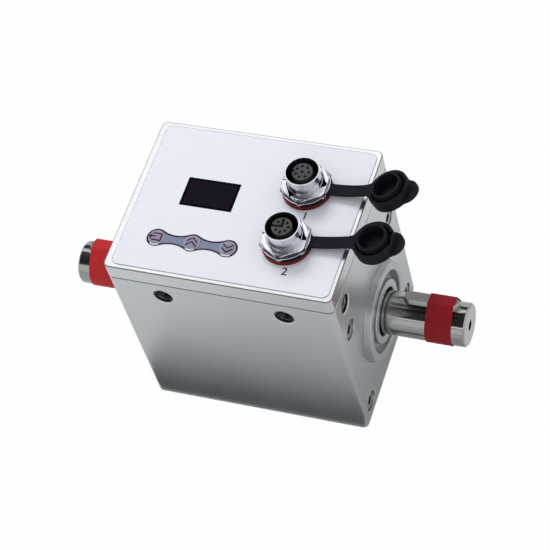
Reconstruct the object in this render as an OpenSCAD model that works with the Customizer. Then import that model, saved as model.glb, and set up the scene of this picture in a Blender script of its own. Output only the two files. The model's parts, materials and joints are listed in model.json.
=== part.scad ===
// Rotary torque sensor: a keyed torsion shaft that turns in two ball bearings inside a
// machined aluminium block, with a display, three push buttons and two round connectors
// on the panel. Millimetres. X runs along the shaft, Z is up, and the origin is the
// middle of the base face.

/* [Housing] */
// Length of the housing along the shaft
body_l = 104; // [102:1:120]
// Width of the housing across the shaft
body_w = 80; // [78:0.5:90]
// Height of the panel face above the base
body_h = 104; // [102:1:120]
// Height of the shaft axis above the base
axis_h = 38.5; // [37:0.1:41]
// Radius of the upright edges
edge_r = 2.5; // [1:0.5:4]
// Thickness of the two end walls
end_wall = 12; // [11.5:0.5:13]
// Thickness of the front and back walls
side_wall = 5.5; // [4.5:0.5:5.5]
// Thickness of the floor
floor_t = 4.5; // [4:0.1:5.5]
// Height of the cover's side above the joint
cover_h = 8.4; // [7:0.2:10]
// Thickness of the cover's plate
cover_t = 2.5; // [2:0.1:3]
// Thickness of the cover gasket
gasket_t = 0.5; // [0.3:0.1:1]
// How far the gasket's edge lies inside the joint
gasket_inset = 0.4; // [0.2:0.1:1]

/* [Fixing holes] */
// Height of the side and end fixing holes above the base
fix_h = 86; // [84:0.5:87]
// Distance between the two fixing holes of a face
fix_pitch = 56; // [50:1:58]
// Tapping diameter of the side and end fixing holes
fix_d = 6.8; // [5:0.1:7]
// Mouth diameter of the chamfer of a fixing hole
fix_mouth_d = 9.6; // [8:0.1:10]
// Depth of a fixing hole
fix_depth = 10; // [8:0.5:10.5]
// Width of the pad inside the wall that takes a side fixing hole
pad_w = 18; // [16:0.5:20]
// How far that pad stands into the cavity
pad_d = 7.5; // [6:0.5:8]
// Gap between a carrier's flange and the pads above it
pad_gap = 4; // [3:0.5:5]
// Distance between the base holes along the shaft
base_pitch_x = 92; // [88:1:94]
// Distance between the base holes across the shaft
base_pitch_y = 40; // [30:1:44]
// Tapping diameter of the base holes
base_d = 5; // [3:0.1:6]
// Depth of the base holes
base_depth = 10; // [8:0.5:11]

/* [End screws] */
// Distance of the end screws from the edges of the carrier's flange
screw_edge = 3.5; // [3:0.5:5]
// Diameter of an end screw
screw_d = 5; // [4:0.5:5]
// Length of an end screw under its head
screw_l = 14; // [12:0.5:15]
// Diameter of a screw head
head_d = 8.5; // [7:0.1:8.8]
// Height of a screw head
head_h = 5; // [4:0.1:5.2]
// Key size across the flats of a screw's socket
socket_af = 4; // [3:0.5:5]
// Depth of a screw's socket
socket_depth = 2.8; // [2:0.1:3]
// Diameter of the counterbore of a screw
cbore_d = 9.4; // [9:0.1:10]
// Depth of the counterbore of a screw
cbore_depth = 5.6; // [5.3:0.1:6]

/* [Shaft] */
// Diameter of the shaft ends
shaft_d = 20; // [18:0.5:20.5]
// Length of the shaft
shaft_l = 188; // [180:1:200]
// Chamfer at the shaft ends
shaft_chamfer = 0.8; // [0.3:0.1:1.5]
// Diameter of the collar that carries the rotor coils
collar_d = 24; // [23.5:0.5:25]
// Diameter of the gauged torsion section
torsion_d = 17; // [12:0.5:18]
// Length of the straight part of the torsion section
torsion_l = 16; // [12:1:18]
// Fillet between the torsion section and the collars
torsion_fillet = 4; // [2:0.5:4]
// Diameter of the centre hole in a shaft end
centre_d = 3.6; // [2:0.1:4]
// Mouth diameter of the centre hole's cone
centre_mouth_d = 5.2; // [5:0.1:7]
// Depth of the centre hole
centre_depth = 7; // [5:0.5:10]

/* [Keys and tape] */
// Width of a shaft key
key_w = 6; // [5:0.5:8]
// Height of a shaft key
key_h = 6; // [5:0.5:7]
// Gap between a shaft key and the pilot boss
key_boss_gap = 9; // [6:0.5:14]
// Depth of the keyway
keyway_depth = 3.5; // [3:0.1:4]
// Distance of the keyway from the shaft end
key_end_gap = 4.5; // [3:0.5:8]
// Angle of the keys from upright, towards the back
key_turn = 14; // [0:1:45]
// Width of the tape that holds a key
tape_w = 12; // [8:0.5:14]
// Thickness of the tape as wound
tape_t = 0.35; // [0.2:0.05:0.6]
// Distance of the tape from the shaft end
tape_end_gap = 6.2; // [5:0.1:10]

/* [Bearings] */
// Outside diameter of a bearing
bearing_d = 37; // [36.6:0.1:37.2]
// Width of a bearing
bearing_b = 9; // [8.6:0.1:10]
// Diameter of the ball circle
ball_circle_d = 28.5; // [28.4:0.1:28.8]
// Diameter of a ball
ball_d = 4.76; // [4.2:0.02:4.9]
// Number of balls in a bearing
ball_n = 12; // [8:1:13]

/* [Bearing carriers] */
// Gap between the carrier's flange and the walls and floor beside it
flange_gap = 0.5; // [0.3:0.1:1]
// Thickness of the carrier's flange
flange_t = 10; // [9:0.5:10.5]
// Diameter of the pilot boss on the end face
pilot_d = 46; // [45.5:0.1:46.5]
// Height of the pilot boss above the end face
pilot_h = 3.5; // [2.5:0.1:5]
// Diameter of the bearing cover pressed into the boss
bearing_cover_d = 38; // [37.8:0.1:40]
// Thickness of the bearing cover's flange
bearing_cover_t = 2; // [1.5:0.1:3]
// Outside diameter of the bearing cover's hub
hub_d = 30; // [28:0.2:32]
// Diameter of the shaft hole in the bearing cover
hub_hole_d = 22.6; // [22:0.2:25]

/* [Coils] */
// Outer diameter of a rotor coil
rotor_d = 33; // [29:0.5:33.5]
// Length of a rotor coil
rotor_l = 11; // [8:0.5:12]
// Wall of a stator coil
stator_wall = 6; // [4:0.5:8]
// Distance from the middle of the shaft to the coils
coil_start = 16; // [15.8:0.1:17]
// Radial air gap between a rotor coil and its stator coil
coil_gap = 0.5; // [0.3:0.1:0.8]

/* [Panel] */
// Distance of the front label from the left and right edges of the panel, both added up
label_side_gap = 5; // [3:0.5:12]
// Distance of the label from the front and back edges of the panel
label_edge_gap = 2; // [1:0.5:4]
// Corner radius of the label
label_r = 3; // [1:0.5:5]
// Offset of the label along the panel
label_shift = 0.6; // [0:0.1:1]
// Thickness of the label
label_t = 0.25; // [0.1:0.05:0.5]
// Length of the display window
window_l = 24.4; // [20:0.2:26]
// Width of the display window
window_w = 15; // [12:0.2:16]
// Place of the display window's middle along the panel
window_x = -17.1; // [-20:0.1:-14]
// Place of the display window's middle across the panel
window_y = 4.4; // [2:0.1:8]
// Distance between two buttons
button_pitch = 16.5; // [14:0.5:18]
// Place of the button row's middle along the panel
button_x = -16.5; // [-20:0.5:-14]
// Distance of the button row from the front edge of the panel
button_edge = 18.3; // [17:0.1:20]
// Diameter of a button
button_d = 7.3; // [6:0.1:7.4]
// Travel of a button
button_travel = 0.4; // [0.2:0.05:0.6]
// Radius of the round ends of the keypad frame
keypad_r = 4.4; // [4.3:0.1:5]
// Half width of the keypad frame's waists
keypad_waist = 2.3; // [1.8:0.1:3]

/* [Connectors] */
// Place of both connectors along the panel
connector_x = 24.8; // [22:0.2:26]
// Distance between the two connectors
connector_pitch = 29; // [26:0.5:31]
// Diameter of the threaded shank of a connector, in the panel and the nut
shank_d = 16; // [15.8:0.1:16.2]
// Outside diameter of a connector's barrel above the nut
barrel_d = 15.2; // [15:0.1:15.5]
// Inside diameter of a connector's barrel
barrel_bore_d = 14.3; // [14:0.1:14.5]
// Height of a connector's rim above the panel
barrel_h = 13.4; // [12:0.1:16]
// Diameter of the contact insert
insert_d = 9; // [8.4:0.1:9.4]
// Diameter of a contact hole
contact_hole_d = 1.24; // [1.2:0.02:1.4]
// Diameter of a contact
contact_d = 1; // [0.7:0.05:1.1]
// Outside diameter of the seal ring
seal_d = 22; // [21.4:0.1:22.4]
// Diameter of the seal ring's section
seal_cord_d = 2.3; // [2:0.1:2.6]
// Key size across the flats of the connector nut
nut_af = 19.9; // [19:0.1:20.4]
// Diameter of the nut's collar
nut_collar_d = 21.6; // [20.6:0.1:22]
// Height of the nut's collar
nut_collar_h = 0.8; // [0.5:0.1:1.5]
// Height of the nut's hexagon
nut_h = 2; // [1.5:0.1:3]

/* [Sealing caps] */
// Thickness of the cap's ring and strap
strap_t = 1.2; // [0.9:0.1:1.5]
// Width of the strap
strap_w = 5.6; // [4:0.2:7]
// Length of the strap's bend
strap_l = 16; // [14:0.2:20]
// Diameter of the ring under the nut
strap_ring_d = 21; // [20:0.2:22]
// Outside diameter of the cap's skirt
skirt_d = 18.8; // [18.4:0.1:20]
// Wall of the cap's skirt
skirt_wall = 1.4; // [1:0.1:1.5]
// Depth of the skirt under its rim
skirt_depth = 4.9; // [4:0.1:6]
// Thickness of the cap's closed end
cap_base_t = 1.3; // [1:0.1:2]
// Outside diameter of the plug inside the cap
plug_d = 13.8; // [13:0.1:14]
// Wall of the plug
plug_wall = 1.1; // [0.8:0.1:1.5]
// Height of the plug above the skirt's rim
plug_rise = 2; // [1:0.1:3]
// How far the finger tab reaches past the skirt
tab_reach = 3.4; // [3:0.2:5]
// Width of the finger tab
tab_w = 11.4; // [9:0.2:12]
// Turn of the first cap's strap on the panel, in degrees
strap_turn_1 = 0; // [-10:0.5:10]
// Angle to which the first cap's strap rises, in degrees
strap_rise_angle_1 = 21; // [12:0.5:26]
// Turn of the second cap's strap on the panel, in degrees
strap_turn_2 = 5.5; // [-10:0.5:10]
// Angle to which the second cap's strap rises, in degrees
strap_rise_angle_2 = 13; // [12:0.5:26]

/* [Circuit board] */
// Gap between the circuit board and the end walls
board_end_gap = 2; // [1:0.5:4]
// Gap between the circuit board and the pads in the side walls
board_side_gap = 1; // [0.5:0.5:2]
// Thickness of the circuit board
board_t = 1.6; // [1:0.1:2]
// Distance of the board under the panel face
board_drop = 12.8; // [12:0.1:14]
// Distance of the board spacers from the board's edges
spacer_edge = 3.2; // [3:0.1:4]
// How far the spacer beside the enter button stands back from its corner
spacer_shift = 13; // [12:0.5:15]

/* [Hidden] */

// Overrun of every cut past the face it opens
over = 1;
// Clearance between pieces that slide into each other
slip = 0.1;
// Clearance of seats that are pressed or bonded
seat_gap = 0.02;
// Facets of a quarter turn on a rounded outline
arc_n = 6;
// Facets of a round face
$fn = 64;

// Housing levels
joint_h = body_h - cover_h;
block_h = joint_h - gasket_t;
cavity_l = body_l - 2 * end_wall;
cavity_w = body_w - 2 * side_wall;
cavity_r = 4;
relief_r = 3;
relief_inset = 2;
under_cover_h = body_h - cover_t;

// Bearing seat stations, measured from the middle of the shaft
bearing_out = body_l / 2 - bearing_cover_t;
bearing_in = bearing_out - bearing_b;
bearing_mid = (bearing_out + bearing_in) / 2;
seat_d = shaft_d + 2 * seat_gap;
land_step = 3;
ring_land_in_d = ball_circle_d - land_step;
ring_land_out_d = ball_circle_d + land_step;
race_gap = 0.1;
cage_side = 0.8;
cage_l = ball_d + 2 * cage_side;
cage_wall = 1.2;
shield_t = 0.4;
shield_inset = 0.3;

// Carrier, as large as the cavity lets it be
flange_s = 2 * (min(cavity_w / 2, axis_h - floor_t) - flange_gap);
screw_pitch = flange_s - 2 * screw_edge;
pad_bottom_h = axis_h + flange_s / 2 + pad_gap;
carrier_in = body_l / 2 - end_wall - flange_t;
neck_step = 0.5;
carrier_neck_d = pilot_d + 2 * neck_step;
rotor_clear = 0.5;
carrier_bore_d = rotor_d + 2 * rotor_clear;
pilot_chamfer = 0.4;
flange_r = 4;
tap_gap = 0.05;

// Keys
key_l = shaft_l / 2 - body_l / 2 - pilot_h - key_end_gap - key_boss_gap;

// Screws
screw_clear = 0.5;
cover_screw_d = 3;
cover_screw_head_d = 6;
cover_screw_l = 14;
cover_screw_pitch_x = body_l - end_wall;
cover_screw_pitch_y = body_w - 2 * side_wall;
tap_room = 1;
cover_screw_tap = cover_screw_l + tap_room;
cover_socket_share = 0.75;

// Panel
label_l = body_l - label_side_gap;
label_w = body_w - 2 * label_edge_gap;
button_y = button_edge - body_w / 2;
lens_lip = 1.8;
lens_lip_t = 0.8;
display_gap = 0.3;
keypad_proud = 0.1;
keypad_depth = 2.3;
button_proud = 0.3;
button_dome_h = 0.6;
button_lip = 0.4;
button_lip_t = 0.8;
button_stem_d = 3;
switch_s = 6;
switch_h = 3.4;
switch_pin_d = 3.2;
switch_pin_h = 1;

// Connectors
shank_gap = 0.1;
panel_hole_gap = 0.2;
shell_flange_d = 19.6;
shell_flange_t = 2;
shell_floor_h = 1;
rear_bore_d = 12;
insert_base_t = 1.5;
insert_tail = 6;
insert_sunk = 0.3;
insert_notch_w = 1.2;
insert_notch_d = 0.9;
rim_chamfer = 0.3;
barrel_key_w = 1.4;
barrel_key_t = 0.5;
contact_circle_8_d = 5.9;
contact_circle_4_d = 5.6;
contact_turn = 2;
contact_bury = 3;
slot_w = 1;
slot_depth = 3;
slot_long = 4.1;
slot_short_in = 2.1;
slot_short_out = 3.8;
nut_chamfer_angle = 30;
nut_turn = 31;
panel_hole_d = shank_d + 2 * panel_hole_gap;
label_hole_d = seal_d + 2 * slip;

// Caps
strap_bottom = seal_cord_d;
nut_bottom = seal_cord_d + strap_t;
tab_t = 1.6;
cap_fillet_r = 4;
cap_merge = 0.2;
cap_flat_w = 7;
cap_flat_wall = 1.2;
strap_root = 1;
strap_step = 0.05;
strap_lap_angle = 1;
flat_floor_share = 0.25;

// Board
board_l = cavity_l - 2 * board_end_gap;
board_w = cavity_w - 2 * pad_d - 2 * board_side_gap;
spacer_pitch_x = board_l - 2 * spacer_edge;
spacer_pitch_y = board_w - 2 * spacer_edge;
board_top_h = body_h - board_drop;
board_r = 3;
spacer_d = 6;
spacer_screw_d = 2.5;
spacer_head_d = 4.5;
spacer_head_h = 2;
spacer_screw_l = 7;

// Coils and gauges
coil_flange_t = 1.2;
coil_sink = 1;
stator_bore_d = rotor_d + 2 * coil_gap;
rotor_board_t = 1.6;
rotor_board_step = 1;
rotor_board_d = rotor_d - 2 * rotor_board_step;
lead_d = 1;
lead_gap = 4;
gauge_t = 0.2;
gauge_l = 7;
gauge_sweep = 34;

// Outlines

function corner(cx, cy, r, start) =
    [for (i = [0 : arc_n]) [cx + r * cos(start + i * 90 / arc_n),
                            cy + r * sin(start + i * 90 / arc_n)]];

function rounded_rect(l, w, r) = concat(
    corner(l / 2 - r, w / 2 - r, r, 0), corner(r - l / 2, w / 2 - r, r, 90),
    corner(r - l / 2, r - w / 2, r, 180), corner(l / 2 - r, r - w / 2, r, 270));

function slot_outline(l, w) = concat(
    [for (i = [0 : 2 * arc_n]) [l / 2 - w / 2 + w / 2 * sin(i * 90 / arc_n),
                                w / 2 * cos(i * 90 / arc_n)]],
    [for (i = [0 : 2 * arc_n]) [w / 2 - l / 2 - w / 2 * sin(i * 90 / arc_n),
                                -w / 2 * cos(i * 90 / arc_n)]]);

// Radius of the hollow arc that runs into two round ends and leaves the waist
function waist_radius(r, waist) =
    (pow(button_pitch / 2, 2) + waist * waist - r * r) / (2 * (r - waist));

function arc(cx, cy, r, from, to, n) =
    [for (i = [0 : n]) [cx + r * cos(from + (to - from) * i / n),
                        cy + r * sin(from + (to - from) * i / n)]];

// Upper edge of the keypad, from the left end to the right end
function keypad_edge(r, waist) =
    let (hollow = waist_radius(r, waist),
         lift = waist + hollow,
         meet = atan2(lift, button_pitch / 2))
    concat(
        arc(-button_pitch, 0, r, 180, meet, 2 * arc_n),
        arc(-button_pitch / 2, lift, hollow, 180 + meet, 360 - meet, arc_n),
        arc(0, 0, r, 180 - meet, meet, arc_n),
        arc(button_pitch / 2, lift, hollow, 180 + meet, 360 - meet, arc_n),
        arc(button_pitch, 0, r, 180 - meet, 0, 2 * arc_n));

function keypad_outline(grow) =
    let (upper = keypad_edge(keypad_r + grow, keypad_waist + grow),
         last = len(upper) - 2)
    concat(upper, [for (i = [last : -1 : 1]) [upper[i][0], -upper[i][1]]]);

// Section of tape pulled tight over the shaft and the key, key upwards
function tape_outline(r, half, top) =
    let (reach = norm([half, top]),
         lean = atan2(half, top) + acos(r / reach))
    concat([[half, top], [-half, top]],
        [for (i = [0 : 6 * arc_n])
            let (a = -lean - (360 - 2 * lean) * i / (6 * arc_n))
            [r * sin(a), r * cos(a)]]);

// Helpers

module prism(points, low, high) {
    translate([0, 0, low]) linear_extrude(high - low) polygon(points);
}

module along_x() {
    translate([0, 0, axis_h]) rotate([0, 90, 0]) children();
}

// Places its children at the right end, or turned round to the left end
module end_side(side) {
    if (side > 0) children();
    else mirror([1, 0, 0]) children();
}

module turned(points) {
    along_x() rotate_extrude() polygon(points);
}

module disc_x(d, from, to) {
    along_x() translate([0, 0, from]) cylinder(d = d, h = to - from);
}

module four(pitch_a, pitch_b) {
    for (a = [-1, 1], b = [-1, 1]) translate([a * pitch_a / 2, b * pitch_b / 2, 0]) children();
}

// Screw axes of an end face, pointing out of it
module end_screw_axes() {
    for (y = [-1, 1], z = [-1, 1])
        translate([body_l / 2, y * screw_pitch / 2, axis_h + z * screw_pitch / 2])
            rotate([0, 90, 0]) children();
}

// Blind tapped hole with a chamfered mouth, opening upwards at the origin
module tapped_hole(d, mouth_d, depth) {
    translate([0, 0, -depth]) cylinder(d = d, h = depth + over);
    translate([0, 0, -(mouth_d - d) / 2])
        cylinder(d1 = d, d2 = mouth_d, h = (mouth_d - d) / 2);
    cylinder(d = mouth_d, h = over);
}

module fixing_holes() {
    for (s = [-1, 1]) {
        for (f = [-1, 1])
            translate([s * fix_pitch / 2, f * body_w / 2, fix_h]) rotate([-f * 90, 0, 0])
                tapped_hole(fix_d, fix_mouth_d, fix_depth);
        for (e = [-1, 1])
            translate([e * body_l / 2, s * fix_pitch / 2, fix_h]) rotate([0, e * 90, 0])
                tapped_hole(fix_d, fix_mouth_d, fix_depth);
    }
}

// Housing

module housing_body() {
    color([0.66, 0.69, 0.70]) difference() {
        prism(rounded_rect(body_l, body_w, edge_r), 0, block_h);
        difference() {
            prism(rounded_rect(cavity_l, cavity_w, cavity_r), floor_t, block_h + over);
            for (x = [-1, 1], y = [-1, 1])
                translate([x * fix_pitch / 2 - pad_w / 2,
                           y > 0 ? cavity_w / 2 - pad_d : -cavity_w / 2 - over, pad_bottom_h])
                    cube([pad_w, pad_d + over, block_h]);
        }
        // Upright bores clear the cavity's corners for the carriers' flanges
        four(cavity_l - 2 * relief_inset, cavity_w - 2 * relief_inset) translate([0, 0, floor_t])
            cylinder(r = relief_r, h = block_h);
        for (side = [-1, 1]) end_side(side) {
            disc_x(carrier_neck_d + slip, cavity_l / 2 - over, body_l / 2 + over);
            end_screw_axes() {
                translate([0, 0, -end_wall - over])
                    cylinder(d = screw_d + screw_clear, h = end_wall + 2 * over);
                translate([0, 0, -cbore_depth]) cylinder(d = cbore_d, h = cbore_depth + over);
            }
        }
        fixing_holes();
        four(base_pitch_x, base_pitch_y)
            translate([0, 0, -over]) cylinder(d = base_d, h = base_depth + over);
        four(cover_screw_pitch_x, cover_screw_pitch_y)
            translate([0, 0, body_h - cover_screw_tap])
                cylinder(d = cover_screw_d + 2 * tap_gap, h = cover_screw_tap);
    }
}

module cover_gasket() {
    color([0.08, 0.08, 0.09]) difference() {
        prism(rounded_rect(body_l - 2 * gasket_inset, body_w - 2 * gasket_inset, edge_r),
              block_h, joint_h);
        prism(rounded_rect(cavity_l, cavity_w, cavity_r), block_h - over, joint_h + over);
        four(cover_screw_pitch_x, cover_screw_pitch_y)
            translate([0, 0, block_h - over])
                cylinder(d = cover_screw_d + screw_clear, h = gasket_t + 2 * over);
    }
}

module top_cover() {
    color([0.80, 0.82, 0.83]) difference() {
        prism(rounded_rect(body_l, body_w, edge_r), joint_h, body_h);
        prism(rounded_rect(cavity_l, cavity_w, cavity_r), joint_h - over, under_cover_h);
        translate([window_x, window_y, 0])
            prism(rounded_rect(window_l + slip, window_w + slip, slip), joint_h, body_h + over);
        translate([button_x, button_y, 0])
            prism(keypad_outline(slip), joint_h, body_h + over);
        for (y = [-1, 1]) translate([connector_x, y * connector_pitch / 2, joint_h])
            cylinder(d = panel_hole_d, h = cover_h + over);
        four(cover_screw_pitch_x, cover_screw_pitch_y) {
            translate([0, 0, joint_h - over])
                cylinder(d = cover_screw_d + screw_clear, h = cover_h + 2 * over);
            translate([0, 0, body_h - cover_screw_head_d / 2])
                cylinder(d1 = 0, d2 = cover_screw_head_d + slip, h = cover_screw_head_d / 2);
        }
    }
}

module cover_screws() {
    color([0.72, 0.73, 0.74]) four(cover_screw_pitch_x, cover_screw_pitch_y)
        translate([0, 0, body_h - slip]) difference() {
            rotate_extrude() polygon([[0, 0], [cover_screw_head_d / 2 - slip, 0],
                [cover_screw_d / 2 - slip, (cover_screw_d - cover_screw_head_d) / 2],
                [cover_screw_d / 2, -cover_screw_head_d / 2], [cover_screw_d / 2, -cover_screw_l],
                [0, -cover_screw_l]]);
            translate([0, 0, -cover_screw_d / 2])
                cylinder(d = cover_screw_d * cover_socket_share, h = cover_screw_d, $fn = 6);
        }
}

// Panel

module panel_label() {
    color([0.91, 0.92, 0.96]) difference() {
        translate([label_shift, 0, 0])
            prism(rounded_rect(label_l, label_w, label_r), body_h, body_h + label_t);
        translate([window_x, window_y, 0])
            prism(rounded_rect(window_l + slip, window_w + slip, slip), body_h - over, body_h + over);
        translate([button_x, button_y, 0])
            prism(keypad_outline(slip), body_h - over, body_h + over);
        for (y = [-1, 1]) translate([connector_x, y * connector_pitch / 2, body_h - over])
            cylinder(d = label_hole_d, h = 2 * over);
    }
}

module display_window() {
    color([0.10, 0.08, 0.14]) translate([window_x, window_y, 0]) {
        prism(rounded_rect(window_l, window_w, slip), under_cover_h, body_h + label_t);
        prism(rounded_rect(window_l + 2 * lens_lip, window_w + 2 * lens_lip, lens_lip),
              under_cover_h - lens_lip_t, under_cover_h);
    }
}

module display_module() {
    color([0.16, 0.16, 0.18]) translate([window_x, window_y, 0])
        prism(rounded_rect(window_l + lens_lip, window_w + lens_lip, slip),
              board_top_h, under_cover_h - lens_lip_t - display_gap);
}

module keypad_frame() {
    color([0.52, 0.55, 0.65]) translate([button_x, button_y, 0]) difference() {
        prism(keypad_outline(0), body_h - keypad_depth, body_h + label_t + keypad_proud);
        for (i = [-1 : 1]) translate([i * button_pitch, 0, body_h - keypad_depth - over])
            cylinder(d = button_d + 2 * slip, h = keypad_depth + 2 * over);
    }
}

// Button i of the row: a cap with a low dome, a lip that stops it and a stem
module button(i) {
    rise = body_h + label_t + button_proud;
    dome_r = (pow(button_d / 2, 2) + pow(button_dome_h, 2)) / (2 * button_dome_h);
    lip_top = body_h - keypad_depth - slip;
    lip_low = lip_top - button_lip_t;
    stem_low = board_top_h + switch_h + switch_pin_h + slip;
    color([0.58, 0.60, 0.70]) translate([button_x + i * button_pitch, button_y, 0]) {
        translate([0, 0, lip_low]) cylinder(d = button_d, h = rise - lip_low);
        intersection() {
            translate([0, 0, rise + button_dome_h - dome_r]) sphere(r = dome_r);
            translate([0, 0, rise]) cylinder(d = button_d, h = button_dome_h);
        }
        translate([0, 0, lip_low])
            cylinder(d = button_d + 2 * button_lip, h = button_lip_t);
        translate([0, 0, stem_low]) cylinder(d = button_stem_d, h = lip_top - stem_low);
    }
}

module button_enter() { button(-1); }
module button_up() { button(0); }
module button_down() { button(1); }

// Board

// Places of the spacers, one of them moved clear of the enter button
module spacer_places() {
    for (x = [-1, 1], y = [-1, 1])
        translate([x * spacer_pitch_x / 2,
                   y * spacer_pitch_y / 2 + (x < 0 && y < 0 ? spacer_shift : 0), 0]) children();
}

module main_board() {
    color([0.10, 0.32, 0.20]) difference() {
        prism(rounded_rect(board_l, board_w, board_r), board_top_h - board_t, board_top_h);
        spacer_places() translate([0, 0, board_top_h - board_t - over])
            cylinder(d = spacer_screw_d + slip, h = board_t + 2 * over);
    }
}

module board_spacers() {
    color([0.72, 0.62, 0.36]) spacer_places() difference() {
        translate([0, 0, board_top_h]) cylinder(d = spacer_d, h = under_cover_h - board_top_h);
        translate([0, 0, board_top_h - over])
            cylinder(d = spacer_screw_d + slip, h = spacer_screw_l + over);
    }
}

module board_screws() {
    color([0.72, 0.73, 0.74]) spacer_places()
        translate([0, 0, board_top_h - board_t]) {
            cylinder(d = spacer_screw_d, h = spacer_screw_l);
            translate([0, 0, -spacer_head_h]) cylinder(d = spacer_head_d, h = spacer_head_h);
        }
}

module key_switches() {
    color([0.12, 0.12, 0.13]) for (i = [-1 : 1])
        translate([button_x + i * button_pitch, button_y, board_top_h]) {
            translate([-switch_s / 2, -switch_s / 2, 0]) cube([switch_s, switch_s, switch_h]);
            cylinder(d = switch_pin_d, h = switch_h + switch_pin_h - button_travel);
        }
}

// Connectors, each drawn on its own axis with the panel face at zero

module at_connector(i) {
    translate([connector_x, i * connector_pitch / 2, body_h]) children();
}

module connector_shell(i) {
    nut_top = nut_bottom + nut_collar_h + nut_h;
    color([0.83, 0.84, 0.86]) at_connector(i) {
        rotate_extrude() polygon([
            [rear_bore_d / 2, -cover_t - shell_flange_t],
            [shell_flange_d / 2, -cover_t - shell_flange_t],
            [shell_flange_d / 2, -cover_t], [shank_d / 2, -cover_t], [shank_d / 2, nut_top],
            [barrel_d / 2, nut_top], [barrel_d / 2, barrel_h - rim_chamfer],
            [barrel_d / 2 - rim_chamfer, barrel_h], [barrel_bore_d / 2, barrel_h],
            [barrel_bore_d / 2, shell_floor_h], [rear_bore_d / 2, shell_floor_h]]);
        rotate([0, 0, contact_turn]) intersection() {
            translate([barrel_bore_d / 2 - barrel_key_t, -barrel_key_w / 2, shell_floor_h])
                cube([2 * barrel_key_t, barrel_key_w, barrel_h - shell_floor_h - over]);
            cylinder(d = barrel_bore_d + barrel_key_t, h = barrel_h);
        }
    }
}

module connector_nut(i) {
    collar_top = nut_bottom + nut_collar_h;
    corner_r = nut_af / 2 / cos(30);
    chamfer_h = (corner_r - nut_af / 2) * tan(nut_chamfer_angle);
    color([0.83, 0.84, 0.86]) at_connector(i) difference() {
        union() {
            translate([0, 0, nut_bottom]) cylinder(d = nut_collar_d, h = nut_collar_h);
            rotate([0, 0, nut_turn]) intersection() {
                translate([0, 0, nut_bottom]) cylinder(r = corner_r, h = nut_collar_h + nut_h, $fn = 6);
                rotate_extrude() polygon([[0, nut_bottom], [corner_r + over, nut_bottom],
                    [corner_r + over, collar_top + nut_h - chamfer_h - over * tan(nut_chamfer_angle)],
                    [nut_af / 2, collar_top + nut_h], [0, collar_top + nut_h]]);
            }
        }
        translate([0, 0, nut_bottom - over])
            cylinder(d = shank_d + 2 * shank_gap, h = nut_collar_h + nut_h + 2 * over);
    }
}

module contact_places(i) {
    n = i > 0 ? 7 : 4;
    circle_d = i > 0 ? contact_circle_8_d : contact_circle_4_d;
    first = i > 0 ? contact_turn : contact_turn + 45;
    for (k = [0 : n - 1]) rotate([0, 0, first + k * 360 / n]) translate([circle_d / 2, 0, 0]) children();
    if (i > 0) children();
}

module connector_insert(i) {
    top = barrel_h - insert_sunk;
    color([0.42, 0.42, 0.45]) at_connector(i) difference() {
        rotate_extrude() polygon([[0, -insert_tail], [rear_bore_d / 2 - seat_gap, -insert_tail],
            [rear_bore_d / 2 - seat_gap, shell_floor_h],
            [barrel_bore_d / 2 - barrel_key_t - slip, shell_floor_h],
            [barrel_bore_d / 2 - barrel_key_t - slip, shell_floor_h + insert_base_t],
            [insert_d / 2, shell_floor_h + insert_base_t], [insert_d / 2, top], [0, top]]);
        contact_places(i) translate([0, 0, -insert_tail - over])
            cylinder(d = contact_hole_d, h = barrel_h + insert_tail + 2 * over);
        rotate([0, 0, contact_turn]) translate([-insert_d / 2 - over, -insert_notch_w / 2,
                shell_floor_h + insert_base_t])
            cube([insert_notch_d + over, insert_notch_w, barrel_h]);
        if (i < 0) rotate([0, 0, contact_turn]) translate([0, 0, top - slot_depth]) {
            for (a = [90, 180]) rotate([0, 0, a]) translate([-slot_w / 2, -slot_w / 2, 0])
                cube([slot_long + slot_w / 2, slot_w, slot_depth + over]);
            for (a = [0, 270]) rotate([0, 0, a]) translate([slot_short_in, -slot_w / 2, 0])
                cube([slot_short_out - slot_short_in, slot_w, slot_depth + over]);
        }
    }
}

module connector_contacts(i) {
    color([0.80, 0.66, 0.32]) at_connector(i) contact_places(i) translate([0, 0, -board_drop])
        cylinder(d = contact_d, h = barrel_h - contact_bury + board_drop, $fn = 24);
}

module connector_seal(i) {
    color([0.60, 0.08, 0.08]) at_connector(i) translate([0, 0, seal_cord_d / 2]) rotate_extrude()
        translate([(seal_d - seal_cord_d) / 2, 0]) circle(d = seal_cord_d, $fn = 32);
}

// Sealing cap moulded with its strap and the ring under the nut. The strap leaves the
// ring level, bends upwards evenly to its rise angle, and flares into the open cap.
module sealing_cap(i, turn, rise_angle) {
    start = strap_ring_d / 2 + strap_root;
    bend_r = strap_l / (rise_angle * PI / 180);
    color([0.10, 0.10, 0.12]) at_connector(i) translate([0, 0, strap_bottom])
        rotate([0, 0, turn]) {
            difference() {
                union() {
                    cylinder(d = strap_ring_d, h = strap_t);
                    translate([0, -strap_w / 2, 0]) cube([start, strap_w, strap_t]);
                }
                translate([0, 0, -over])
                    cylinder(d = shank_d + 2 * shank_gap, h = strap_t + 2 * over);
            }
            // The bend turns about a line across the strap, above the ring, and laps into
            // the ring's tongue and the flare, which are a hair thicker than it is
            translate([start, 0, bend_r + strap_t]) rotate([90, 0, 0])
                rotate([0, 0, -90 - strap_lap_angle])
                    rotate_extrude(angle = rise_angle + 2 * strap_lap_angle)
                    translate([bend_r + strap_step, strap_step - strap_w / 2])
                        square([strap_t - 2 * strap_step, strap_w - 2 * strap_step]);
            translate([start, 0, bend_r + strap_t]) rotate([0, -rise_angle, 0])
                translate([cap_flare(), 0, -bend_r - strap_t]) cap_body();
        }
}

// Distance from the cap's axis to where the strap starts to flare
function cap_flare() = sqrt(pow(skirt_d / 2 - cap_merge + cap_fillet_r, 2)
                            - pow(strap_w / 2 + cap_fillet_r, 2));

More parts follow.
